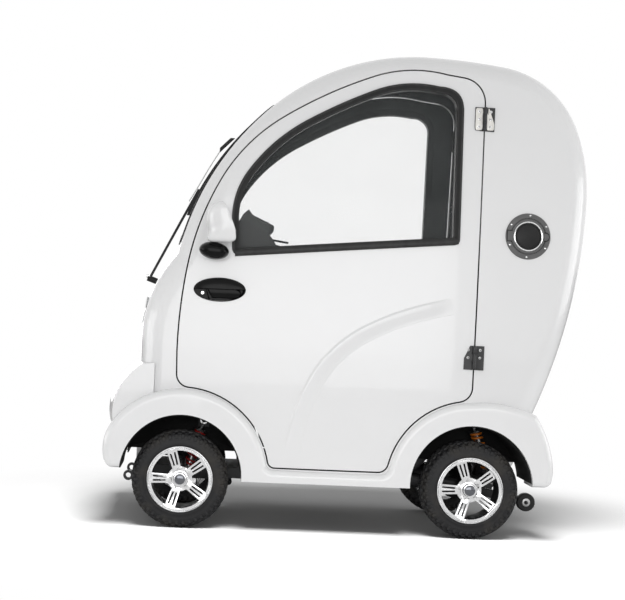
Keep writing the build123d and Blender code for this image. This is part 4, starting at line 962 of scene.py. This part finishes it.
def windowPath():
    # the frame's arcs, then its straight runs with rounded corners, at even distances
    run = arcRun(window["front"], window["heading"], window["arcs"])
    corners = [window["rearTop"], window["rearFoot"], window["frontFoot"]]
    around = [window["arcs"][-1], *corners, window["front"]]
    parts = [run[:-1]]
    for before, corner, after, radius in zip(around, corners, around[2:], window["corners"]):
        parts.append(cornerRun(before, corner, after, radius))
    return evenly(np.vstack(parts), window["spacing"])


outline = windowPath()
outlineNormal = outwardOf(outline)
sillStart, sillEnd = np.array(window["frontFoot"]), np.array(window["rearFoot"])
for side, sign in sides:
    door = side + "_door"
    skin = nodes[side + "_door_panel"]
    track = steadied(draped(outline + 0.006 * outlineNormal, skin, sign))
    track[:, [0, 2]] = outline
    away = np.insert(outlineNormal, 1, 0, axis=1)
    beads = joined(
        strip(track, away, roundSection(window["outerBead"], window["outerSize"]), sign),
        strip(track, away, roundSection(window["innerBead"], window["innerSize"]), sign))
    meshObject(side + "_window_beads", *beads, "sealEdge", 60, door, "black_rubber")
    share = np.linspace(0.012, 0.994, 60)[:, None]
    rail = sillStart + share * (sillEnd - sillStart)
    downward = np.array([0, -abs(unit(sillStart - sillEnd)[0])])
    low = draped(rail + 0.008 * downward, skin, sign)
    depths = np.polyfit(rail[10:-10, 0], low[10:-10, 1], 3)
    low[:, 1] = np.polyval(depths, rail[:, 0]) + sign * window["railProud"]
    low[:, [0, 2]] = rail - window["railInset"] * np.array([0, 1])
    # rail: rings of unit circles round the path, stretched to the rail's size and rounded off at its ends
    swell = np.minimum(1, np.sqrt(np.clip(np.minimum(share, 1 - share)[:, 0] / 0.012, 0.02, 1)))
    points, faces = tube(low, 1.0, 14)
    middle = np.vstack([low[:1], low, low[-1:]])[:, None]
    tall, wide = window["railSize"]
    size = np.concatenate([[pointSize], swell, [pointSize]])[:, None, None] * np.array([wide, wide, tall])
    spokes = points.reshape(-1, 14, 3) - middle
    spokes[0], spokes[-1] = spokes[1], spokes[-2]
    meshObject(side + "_sill_rail", middle + unit(spokes) * size, faces, "sealEdge", 60, door, "black_rubber")
    rim = evenly(np.array(window["panel"]), 0.01)
    middle = rim.mean(0)
    inner = np.vstack([middle + share * (rim - middle) for share in (0.25, 0.5, 0.75, 0.9)])
    fit = depthFit(side + "_door_glass", inner, middle, sign)
    face = np.stack([rim[:, 0], fit(rim[:, 0], rim[:, 1]) - sign * window["panelBehind"], rim[:, 1]], -1)
    back = face - np.array([0, sign * window["panelThick"], 0])
    ends = [np.tile(flat.mean(0), (len(rim), 1)) for flat in (face, back)]
    meshObject(side + "_corner_panel", np.vstack([ends[0], face, back, ends[1]]),
               gridFaces(4, len(rim), False, True), "plastic", 30, door, "black_plastic")
print("windows trimmed")

# Door crease: a low ridge in the paint that sweeps up to the rear edge
crease = {
    "points": [(0.200, 0.280), (0.193, 0.348), (0.163, 0.458), (0.101, 0.582), (0.003, 0.677),
               (-0.113, 0.739), (-0.230, 0.781), (-0.337, 0.806)],
    "height": 0.0042, "soft": 0.050, "crisp": 0.009, "columns": 22, "spacing": 0.008,
}


def smoothRun(points, spacing):
    # quadratic B-spline through the middles of the runs, ends kept
    for _ in range(4):
        near, far = 0.75 * points[:-1] + 0.25 * points[1:], 0.25 * points[:-1] + 0.75 * points[1:]
        points = np.vstack([points[:1], np.stack([near, far], 1).reshape(-1, 2), points[-1:]])
    return evenly(points, spacing, False)


ridge = smoothRun(np.array(crease["points"]), crease["spacing"])
ridgeNormal = outwardOf(ridge, False)
if ridgeNormal[:, 1].mean() < 0:
    ridgeNormal = -ridgeNormal
across = np.concatenate([np.linspace(-crease["soft"], 0, crease["columns"]),
                         np.linspace(0, crease["crisp"], 7)[1:]])
# height across: half cosine from 0 at the soft edge up to 1 at the ridge, and down over the crisp edge
rise = np.where(across < 0, 0.5 + 0.5 * np.cos(np.pi * across / crease["soft"]),
                0.5 + 0.5 * np.cos(np.pi * across / crease["crisp"]))
along = np.linspace(0, 1, len(ridge))
fade = np.clip(np.minimum(along / 0.16, (1 - along) / 0.10), 0, 1)
fade = fade * fade * (3 - 2 * fade)
for side, sign in sides:
    skin = nodes[side + "_door_panel"]
    flat = ridge[:, None] + across[None, :, None] * ridgeNormal[:, None]
    surface = draped(flat.reshape(-1, 2), skin, sign)
    height = fade[:, None] * rise[None, :] * crease["height"]
    edge = np.ones_like(across)
    edge[[0, -1]] = 0
    surface[:, 1] += sign * (height + 0.0004 * edge[None] - 0.0012 * (1 - edge[None])).ravel()
    meshObject(side + "_door_crease", surface, gridFaces(len(ridge), len(across)), "white", 60,
               side + "_door", "white_shell")
print("door creases done")

# Wheels. Metres from the wheel's centre, outer face along +Y; "lean" and "turn" in radians and degrees.
wheel = {
    "radius": 0.165, "track": 0.300, "frontX": 0.559, "rearX": -0.426,
    "blocks": 42, "blockHalf": (0.0078, 0.0066, 0.0036), "rows": (0.0085, 0.0250), "rowRadius": 0.1612,
    "shoulderHalf": (0.0074, 0.0070, 0.0040), "shoulderAt": (0.1565, 0.0405), "shoulderLean": 0.65,
    "sideHalf": (0.0056, 0.0085, 0.0022), "sideAt": (0.1455, 0.0487),
    "boltCircle": 0.033, "boltTurn": 12.0, "boltSeat": 0.0300,
}
halfTyre = [(0.1023, 0.0400), (0.1040, 0.0442), (0.1085, 0.0466), (0.1150, 0.0478), (0.1172, 0.0500),
            (0.1190, 0.0505), (0.1208, 0.0500), (0.1230, 0.0484), (0.1330, 0.0490), (0.1440, 0.0484),
            (0.1520, 0.0452), (0.1565, 0.0395), (0.1582, 0.0320), (0.1586, 0.0160), (0.1586, 0.0)]


def radialFrames(count, radius, offset, across, lean=0.0):
    # block places round the wheel: centre = (r sin a, across, r cos a); axes are along the tread,
    # across it and outward, the outward axis leaning towards the side by the lean
    turn = offset + wholeTurn(count)
    sin, cos, zero = np.sin(turn), np.cos(turn), np.zeros(count)
    out = np.stack([sin, zero, cos], -1)
    along = np.stack([cos, zero, -sin], -1)
    wide = np.stack([zero, zero + 1, zero], -1)
    tip, tilt = math.cos(lean), math.sin(lean)
    centres = radius * out + across * wide
    axes = np.stack([along, tip * wide - tilt * out, tip * out + tilt * wide], 1)
    return centres, axes


def tyreShape():
    # the profile turned round the axle, with rows of tread blocks, shoulder blocks and side lugs on it
    profile = np.array(halfTyre + [(r, -y) for r, y in halfTyre[-2::-1]])
    shapes = [lathe(profile, 84)]
    count = wheel["blocks"]
    pitch = 2 * math.pi / count
    for row, distance in enumerate(wheel["rows"]):
        for sign in (1, -1):
            shift = pitch * (0.5 * row + (0.25 if sign > 0 else 0.0))
            shapes.append(blocks(*radialFrames(count, wheel["rowRadius"], shift, sign * distance),
                                 wheel["blockHalf"], 0.86))
    for sign in (1, -1):
        radius, distance = wheel["shoulderAt"]
        lean = sign * wheel["shoulderLean"]
        shapes.append(blocks(*radialFrames(count, radius, pitch * 0.25, sign * distance, lean),
                             wheel["shoulderHalf"], 0.84))
        radius, distance = wheel["sideAt"]
        places, axes = radialFrames(count, radius, pitch * 0.75, sign * distance)
        axes = axes[:, [0, 2, 1]] * np.array([1, 1, sign])[None, :, None]
        shapes.append(blocks(places, axes, wheel["sideHalf"], 0.8))
    return joined(*shapes)


def boltShape():
    # hexagonal head on a round flange, along +Y
    head = lathe([(0, 0.0065), (0.0034, 0.0065), (0.0042, 0.0058), (0.0042, 0.002), (0, 0.002)], 6)
    flange = lathe([(0, 0.0025), (0.0052, 0.0022), (0.0056, 0.0), (0, 0.0)], 16)
    return joined(head, flange)


capShape = lathe([(0.0, 0.0492), (0.0060, 0.0490), (0.0120, 0.0480), (0.0170, 0.0462), (0.0200, 0.0436),
                  (0.0213, 0.0400), (0.0216, 0.0302), (0.0, 0.0302)], 48)
lipShape = lathe(0.0032 * circle(12) + np.array([0.1095, 0.0478]), 96)
seatShape = lathe([(0.0300, 0.0302), (0.0250, 0.0322), (0.0228, 0.0322), (0.0215, 0.0302)], 48)
tyreMesh = tyreShape()
turns = np.radians(wheel["boltTurn"] + 72.0 * np.arange(5))
boltSpots = np.stack([wheel["boltCircle"] * np.sin(turns), np.full(5, wheel["boltSeat"]),
                      wheel["boltCircle"] * np.cos(turns)], -1)
bolts = copies(boltShape(), boltSpots)
bright = joined(lipShape, seatShape)


def onWheel(shape, x, sign):
    # moved from the wheel's centre to its axle, mirrored on the right
    points, faces = shape
    return points * np.array([1, sign, 1]) + np.array([x, sign * wheel["track"], wheel["radius"]]), faces


for side, sign in sides:
    for end in ("front", "rear"):
        body = side + "_" + end + "_wheel"
        x = wheel[end + "X"]
        tyre = meshObject(body + "_tyre", *onWheel(tyreMesh, x, sign), "tyre", 50, body, "tyre_rubber")
        addBevel(tyre, 0.0007, 1, 50)
        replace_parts(tyre, side + "_" + end + "_tyre")
        rim = dressed(side + "_" + end + "_rim", "alloy", flatten=0.8)

        def barrelAndShadedSides(centre, normal):
            # all but what faces outward, the lip's rim and the hub's middle take the dark finish: the rim's
            # inside, and the spoke sides as painted shade
            outer = (normal[:, 1] * sign > 0.7) & (centre[:, 1] * sign > 0.300 + 0.02)
            radius = np.hypot(centre[:, 0] - x, centre[:, 2] - wheel["radius"])
            return ~outer & ~((radius > 0.1065) & (centre[:, 1] * sign > 0.3)) & ~(radius < 0.0225)

        secondFinish(rim, "barrel", barrelAndShadedSides)
        addBevel(rim, 0.0009, 2, 40)
        meshObject(body + "_lip", *onWheel(bright, x, sign), "alloy", 40, body, "polished_alloy")
        meshObject(body + "_cap", *onWheel(capShape, x, sign), "cap", 30, body, "polished_alloy")
        meshObject(body + "_bolts", *onWheel(bolts, x, sign), "bolt", 30, body, "black_steel")
print("wheels done")

# Coil springs: wire wound round the line from each lower pin to its upper pin
springs = {
    "front": (0.543, 0.1575, 0.484, 0.356, 0.176), "rear": (-0.526, 0.190, -0.450, 0.392, 0.203),
    "share": 0.62, "turns": 6.5, "wire": 0.0040, "coil": 0.0170, "steps": 40,
}


def springShape(footX, footZ, headX, headZ, y):
    # helix: centre line + coil radius * (cos a * side + sin a * Y), flatter at both ends
    foot, head = np.array([footX, y, footZ]), np.array([headX, y, headZ])
    line = head - foot
    sideways = np.cross(unit(line), [0, 1, 0])
    share = np.linspace(0, 1, int(springs["turns"] * springs["steps"]))
    eased = share - 0.06 * np.sin(2 * math.pi * share)
    inset = (1 - springs["share"]) / 2 + springs["wire"] / np.linalg.norm(line)
    middle = foot + (inset + (1 - 2 * inset) * eased)[:, None] * line
    angle = 2 * math.pi * springs["turns"] * share
    spokes = np.cos(angle)[:, None] * sideways + np.sin(angle)[:, None] * np.array([0, 1, 0])
    return tube(middle + springs["coil"] * spokes, springs["wire"], 10, unit(line))


coils = joined(*[springShape(*springs[end][:4], sign * springs[end][4])
                 for end in ("front", "rear") for sign in (1, -1)])
coilPiece = meshObject("coil_springs_wound", *coils, "red", 60, "body", "spring_paint")
secondFinish(coilPiece, "amber", lambda centre, normal: centre[:, 0] < 0)
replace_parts(coilPiece, "coil_springs")
print("springs done")

# Door hinges: black below; above, light leaves on a black plate a little wider, its rim a painted shadow round
# each leaf. Each leaf has three countersunk screws.
# edge: how far the black plate shows round an upper leaf, as a painted shadow
hinges = {
    "heights": (0.616, 1.430), "axis": (-0.01498, -0.0441, 0.99891), "lowPoint": (-0.42084, 0.3572, 0.616),
    "leafMiddle": 0.0200, "leafHalf": (0.0125, 0.0380), "spread": (-0.026, 0.0, 0.026),
    "rise": (0.0045, 0.0056), "edge": 0.0014, "screwRise": 0.0056, "sunk": 0.0065,
}
screwTop = lathe([(0, 0.0004), (0.0014, 0.0004), (0.0018, 0.0014), (0.0042, 0.0012), (0.0052, 0.0002),
                  (0.0052, -0.0016), (0, -0.0016)], 20)
# black disc sunk in each screw head's recess: painted shade
screwRecessShade = lathe([(0, 0.0012), (0.0015, 0.0012), (0.0016, 0.0002), (0, 0.0002)], 12)
hingeLine = np.array(hinges["axis"])


def leafLoop(grow):
    # rounded rectangle leaning with the hinge line
    loop = squircle(hinges["leafHalf"][0] + grow, hinges["leafHalf"][1] + grow, 0.28, 64)
    loop[:, 0] += loop[:, 1] * hingeLine[0] / hingeLine[2]
    return loop


for side, sign in sides:
    for level, height in enumerate(hinges["heights"]):
        pivot = np.array(hinges["lowPoint"]) + hingeLine * (height - hinges["heights"][0]) / hingeLine[2]
        for leaf, body in ((1, side + "_door"), (-1, "body")):
            middle = np.array([pivot[0] + leaf * hinges["leafMiddle"], pivot[2]])
            fit = skinFit(side + "_door_panel" if leaf > 0 else "body_shell",
                          middle + np.array([leaf * 0.030, 0]), 0.024, sign)
            tag = f"{side}_{'upper' if level else 'lower'}_{'door' if leaf > 0 else 'body'}"
            if level:
                # black plate wider than the light leaf: its rim shows as a painted shadow round the leaf
                base = plate(leafLoop(hinges["edge"]), -0.001, hinges["rise"][0], 0.0006)
                meshObject(tag + "_leaf_edge", *onSkin(base, middle, fit, sign), "black", 30, body,
                           "hinge_steel")
                top = plate(leafLoop(0.0), 0.002, hinges["rise"][1], 0.0006)
                meshObject(tag + "_leaf", *onSkin(top, middle, fit, sign), "zinc", 30, body, "hinge_steel")
            spots = np.outer(hinges["spread"], hingeLine)[:, [0, 2]]
            places = np.stack([spots[:, 0], np.full(3, hinges["screwRise"]), spots[:, 1]], -1)
            if level == 0:
                skinAt = fit(spots[:, 0] + middle[0], spots[:, 1] + middle[1])
                places[:, 1] = pivot[1] - hinges["sunk"] - skinAt * sign
            meshObject(tag + "_screws", *onSkin(copies(screwTop, places), middle, fit, sign),
                       "chrome" if level else "bolt", 35, body, "hinge_steel")
            # black discs in the screw recesses, as painted shade
            meshObject(tag + "_screw_holes", *onSkin(copies(screwRecessShade, places), middle, fit, sign),
                       "black", 35, body, "hinge_steel")
for node in ("body_hinges", "left_door_hinges", "right_door_hinges"):
    addBevel(dressed(node, "black", flatten=0.8), 0.0006, 2, 40)
print("hinges done")

# Seat: both cushions are blown up as cloth, then sewn channels are pressed in
seat = {
    "voxel": 0.0055, "inset": 0.006, "pressure": 4.0, "cap": 0.014, "frames": 20,
    "cushion": {"lines": (-0.220, -0.132, -0.044, 0.044), "axis": 0, "top": 2, "facing": 1, "depth": 0.0075},
    "back": {"lines": (0.640, 0.715, 0.790, 0.865), "axis": 2, "top": 0, "facing": 1, "depth": 0.0075},
    "lineWidth": 0.0048, "side": 0.150,
}


def pointNormals(mesh):
    flat = np.empty(len(mesh.vertices) * 3)
    mesh.vertices.foreach_get("normal", flat)
    return flat.reshape(-1, 3)


def swollen(node):
    # voxel copy of a CAD node, taken in by the inset, then cloth under pressure with its travel capped
    piece = cadCopy(node, "leather", 60, "_pad")
    voxels = piece.modifiers.new("voxels", "REMESH")
    voxels.mode = "VOXEL"
    voxels.voxel_size = seat["voxel"]
    mesh = evaluatedCopy(piece)
    start = readPoints(mesh)
    taken = start - seat["inset"] * pointNormals(mesh)
    writePoints(mesh, taken)
    cloth = piece.modifiers.new("cloth", "CLOTH")
    cloth.settings.use_pressure = True
    cloth.settings.uniform_pressure_force = seat["pressure"]
    cloth.settings.effector_weights.gravity = 0.0
    cloth.settings.tension_stiffness = cloth.settings.compression_stiffness = 12.0
    cloth.point_cache.frame_start, cloth.point_cache.frame_end = 1, seat["frames"]
    for step in range(1, seat["frames"] + 1):
        bpy.context.scene.frame_set(step)
    graph = bpy.context.evaluated_depsgraph_get()
    blown = readPoints(piece.evaluated_get(graph).data)
    travel = blown - taken
    reach = np.linalg.norm(travel, axis=1, keepdims=True)
    piece.modifiers.clear()
    writePoints(mesh, taken + travel * np.minimum(1, seat["cap"] / np.maximum(reach, 1e-9)))
    bpy.context.scene.frame_set(1)
    mesh.shade_smooth()
    return piece


def sewn(piece, settings):
    # channel depth = depth * exp(-(distance to the line / width)^2), on the side that meets the driver;
    # two more run along it at the sides
    points, normals = readPoints(piece.data), pointNormals(piece.data)
    top = np.clip(normals[:, settings["top"]] * settings["facing"], 0, 1)
    lines = np.array(settings["lines"])
    near = np.abs(points[:, settings["axis"], None] - lines).min(1)
    inside = np.abs(points[:, 1]) < seat["side"]
    groove = np.exp(-(near / seat["lineWidth"]) ** 2) * inside
    rails = np.exp(-((np.abs(points[:, 1]) - seat["side"]) / seat["lineWidth"]) ** 2)
    press = settings["depth"] * np.maximum(groove, rails) * top
    points[:, settings["top"]] -= settings["facing"] * press
    writePoints(piece.data, points)


for node, words in (("seat_cushion", "cushion"), ("seat_back", "back")):
    pad = swollen(node)
    sewn(pad, seat[words])
    smooth = pad.modifiers.new("smooth", "SUBSURF")
    smooth.levels = smooth.render_levels = 1
    standIn(pad, node)
print("seat padded")

# Wiper: thin dull metal rod up to the blade's clip, the clip, two nuts at the pivot. Metres, x and z.
wiper = {
    "rod": [(0.570, 1.135), (0.545, 1.178), (0.500, 1.262), (0.462, 1.326)], "rodRadius": 0.0020,
    "clipFrom": (0.4660, 1.3180), "clipTo": (0.4120, 1.3720), "clipHalf": (0.0075, 0.0060), "clipOut": 0.0045,
    "nuts": [(0.7075, 0.0, 0.8580), (0.6880, 0.0, 0.8420)],
}
rodRun = smoothRun(np.array(wiper["rod"]), 0.006)
rodPath = np.insert(rodRun, 1, 0, axis=1)
rodShape = tube(rodPath, wiper["rodRadius"], 8, (0, 1, 0))
meshObject("wiper_rod", *rodShape, "steel", 50, "body", slotOf["wiper"])
clipEnds = np.array([wiper["clipFrom"], wiper["clipTo"]])
clipHalf = (wiper["clipHalf"][0], np.linalg.norm(clipEnds[1] - clipEnds[0]) / 2, wiper["clipHalf"][1])
clipAlong = unit(clipEnds[1] - clipEnds[0])
clipOut = np.array([clipAlong[1], -clipAlong[0]])
clipAxes = [[[0, 1, 0], [clipAlong[0], 0, clipAlong[1]], [clipOut[0], 0, clipOut[1]]]]
clipAt = clipEnds.mean(0) + wiper["clipOut"] * clipOut
clipPiece = meshObject("wiper_clip", *blocks([[clipAt[0], 0, clipAt[1]]], clipAxes, clipHalf, 0.7),
                       "plastic", 40, "body", slotOf["wiper"])
addBevel(clipPiece, 0.002, 3)
nutPoints, nutFaces = lathe([(0, 0.0065), (0.0050, 0.0065), (0.0062, 0.0050), (0.0072, 0.0048),
                            (0.0075, -0.006), (0, -0.006)], 20)
nuts = copies((nutPoints[:, [1, 2, 0]], nutFaces), wiper["nuts"])  # turned from the Y axis to X
meshObject("wiper_nuts", *nuts, "chrome", 35, "body", slotOf["wiper"])
print("wiper done")

# Lamps: a bright wire ring round each lens, leaning with its face. Metres.
bezels = {
    "wire": 0.0028,
    "head": {"node": "headlamps", "at": (0.7075, 0.175, 0.735), "turn": 1, "radius": 0.0465},
    "tail": {"node": "tail_lamps", "at": (-0.7905, 0.160, 0.860), "turn": -1, "radius": 0.0405},
}
for end in ("head", "tail"):
    bezel = bezels[end]
    points, faces = lathe(bezels["wire"] * circle(12) + np.array([bezel["radius"], 0]), 64)
    leaning = points @ np.array([[0, bezel["turn"], 0], [1, 0, 0], [0, 0, 1]]).T
    for side, sign in sides:
        spot = np.array(bezel["at"]) * np.array([1, sign, 1])
        fit = frontFit(bezel["node"], spot, bezel["radius"])
        points = leaning + spot
        points[:, 0] += fit(points[:, 1], points[:, 2]) - spot[0]
        meshObject(f"{end}_bezel_{side}", points, faces, "chrome", 40, "body", slotOf[bezel["node"]])
print("lamps done")

# Grips turned round Y, radius + rise * |sin(pi * ribs)|^0.6, then display and buttons on the console. Metres.
grips = {"at": (0.364, 1.018), "start": 0.152, "end": 0.255, "radius": 0.0158, "ribs": 17, "rise": 0.0014}
ribPlaces = np.linspace(grips["start"], grips["end"], grips["ribs"] * 8 + 1)
ribShare = np.linspace(0, grips["ribs"], len(ribPlaces))
ribRadius = grips["radius"] + grips["rise"] * np.abs(np.sin(math.pi * ribShare)) ** 0.6
gripProfile = [(0.0, grips["start"] - 0.0005), *zip(ribRadius, ribPlaces), (0.0140, grips["end"] + 0.002),
               (0.0, grips["end"] + 0.003)]
for side, sign in sides:
    points, faces = lathe(gripProfile, 40)
    points = points * np.array([1, sign, 1]) + np.array([grips["at"][0], 0, grips["at"][1]])
    meshObject("grip_" + side, points, faces, "rubber", 50, "tiller", slotOf["handlebar"])
panel = {"from": (0.3560, 1.0980), "to": (0.2590, 1.0530)}
panelAlong = unit(np.array(panel["to"]) - np.array(panel["from"]))
panelOut = np.array([panelAlong[1], -panelAlong[0]])
if panelOut[1] < 0:
    panelOut = -panelOut


def onPanel(along, across, halfAlong, halfAcross, high, finish, name, edge=0.0012):
    # rounded plate on the console's sloping top
    points, faces = plate(squircle(halfAcross, halfAlong, 0.45, 40), -0.001, high, edge)
    here = np.array(panel["from"]) + panelAlong * along
    axes = np.array([[0, 1, 0], [panelOut[0], 0, panelOut[1]], [panelAlong[0], 0, panelAlong[1]]])
    points = points @ axes + np.array([here[0], across, here[1]])
    meshObject(name, points, faces, finish, 40, "tiller", slotOf["tiller_console"])


onPanel(0.052, 0.0, 0.034, 0.060, 0.0016, "glossBlack", "display_frame")
onPanel(0.047, 0.0, 0.022, 0.040, 0.0024, "screen", "display")
for place, across in enumerate((-0.045, -0.015, 0.015, 0.045)):
    onPanel(0.079, across, 0.0042, 0.0105, 0.0042, "darkPlastic", f"button_{place}", 0.0016)
print("console done")

# Stabiliser wheels: hub caps, from the wheel's outer face. Metres.
stabiliser = {"hubAt": (-0.661, 0.163, 0.109)}
hubShape = lathe([(0.0, 0.0046), (0.0048, 0.0044), (0.0070, 0.0030), (0.0078, 0.0012), (0.0130, 0.0010),
                  (0.0150, -0.0005), (0.0, -0.0005)], 32)
for side, sign in sides:
    points = (hubShape[0] + np.array(stabiliser["hubAt"])) * np.array([1, sign, 1])
    meshObject(side + "_stabiliser_hub", points, hubShape[1], "bolt", 35, side + "_stabiliser", "black_steel")
print("stabilisers done")

# Floor, sky, lamps and camera. Shades are 0 to 1; "Seen" is what the camera sees. Metres.
stage = {"floorHalf": 30.0, "floorShade": 0.22, "floorSeen": 0.36, "skyShade": 1.0, "lampShade": 0.57,
         "whiteFrom": 1.05, "whiteTo": 1.75}
floorFinish = Finish("pale floor")
seenFloor = floorFinish.ray("Is Camera Ray")
floorTone = floorFinish.blend(seenFloor, (stage["floorShade"],) * 3, (stage["floorSeen"],) * 3)
# seen by the camera, the floor turns to plain white with the distance from the middle
apart = floorFinish.node("ShaderNodeVectorMath", {"operation": "LENGTH"},
                         {0: floorFinish.node("ShaderNodeTexCoord", output=3)}, 1)
whitened = floorFinish.node("ShaderNodeMapRange", {"interpolation_type": "SMOOTHSTEP"},
                            {0: apart, 1: stage["whiteFrom"], 2: stage["whiteTo"], 3: 0.0, 4: 1.0})
floorSurface = floorFinish.node("ShaderNodeMixShader", None, {
    0: whitened * seenFloor, 1: floorFinish.node("ShaderNodeBsdfDiffuse", None, {"Color": floorTone}),
    2: floorFinish.node("ShaderNodeEmission")})
floorFinish.put(floorFinish.tree.nodes["Material Output"].inputs["Surface"], floorSurface)
floorMesh = bpy.data.meshes.new("floor")
floorCorners = np.array([(-1, -1, 0), (1, -1, 0), (1, 1, 0), (-1, 1, 0)]) * stage["floorHalf"]
floorMesh.from_pydata(floorCorners.tolist(), [], [(0, 1, 2, 3)])
floorMesh.materials.append(floorFinish.material)
floor = added("floor", floorMesh)

world = bpy.data.worlds.new("studio")
world.use_nodes = True
bpy.context.scene.world = world
sky = Graph(world.node_tree)
plainSky = sky.ray("Is Camera Ray").orElse(sky.ray("Is Transmission Ray")).orElse(sky.ray("Is Glossy Ray"))
sky.put(sky.tree.nodes["Background"].inputs["Color"],
        sky.blend(plainSky, (stage["lampShade"],) * 3, (stage["skyShade"],) * 3))

# Soft boxes round the object. Columns: name, place, aimed at, width, height, watts.
softBoxes = [
    ("left box", (0.2, 4.6, 1.1), (0.0, 0.0, 0.8), 4.0, 1.8, 57.0),
    ("right box", (0.0, -4.6, 1.1), (0.0, 0.0, 0.8), 4.0, 1.8, 50.0),
    ("front box", (4.8, 0.6, 0.9), (0.0, 0.0, 0.7), 3.0, 1.4, 30.0),
    ("rear box", (-4.8, 0.6, 1.2), (0.0, 0.0, 0.8), 3.0, 1.8, 44.0),
    ("floor box", (0.0, 1.9, 4.7), (0.0, -0.1, 0.0), 2.2, 2.2, 760.0),
]
floorOnly = bpy.data.collections.new("floor only")
floorOnly.objects.link(floor)
for name, place, target, wide, tall, watts in softBoxes:
    light = bpy.data.lights.new(name, "AREA")
    light.shape = "RECTANGLE"
    light.size, light.size_y = wide, tall
    light.energy = watts
    lamp = added(name, light)
    lamp.location = place
    lamp.rotation_euler = (Vector(target) - Vector(place)).to_track_quat("-Z", "Y").to_euler()
    if name == "floor box":
        lamp.light_linking.receiver_collection = floorOnly

# Camera: lens from the photograph's focal length and width in pixels, angles in degrees
view = {"place": (0.496, 5.05, 0.742), "roll": 2.27, "pixels": 1387.0, "width": 625.0,
        "shift": (0.172, 0.016), "sensor": 36.0, "farEnd": 200.0}
camera = bpy.data.cameras.new("camera")
camera.sensor_width = view["sensor"]
camera.lens = view["sensor"] * view["pixels"] / view["width"]
camera.shift_x, camera.shift_y = view["shift"]
camera.clip_end = view["farEnd"]
viewer = added("camera", camera)
# it looks along -Y, so right is -X; both lean by the roll
roll = math.radians(view["roll"])
leanRight = Vector((-math.cos(roll), 0, math.sin(roll)))
leanUp = Vector((math.sin(roll), 0, math.cos(roll)))
turning = Matrix((leanRight, leanUp, Vector((0, 1, 0)))).transposed().to_4x4()
viewer.matrix_world = Matrix.Translation(view["place"]) @ turning
bpy.context.scene.camera = viewer
bpy.context.scene.view_settings.view_transform = "Standard"
print("stage set")
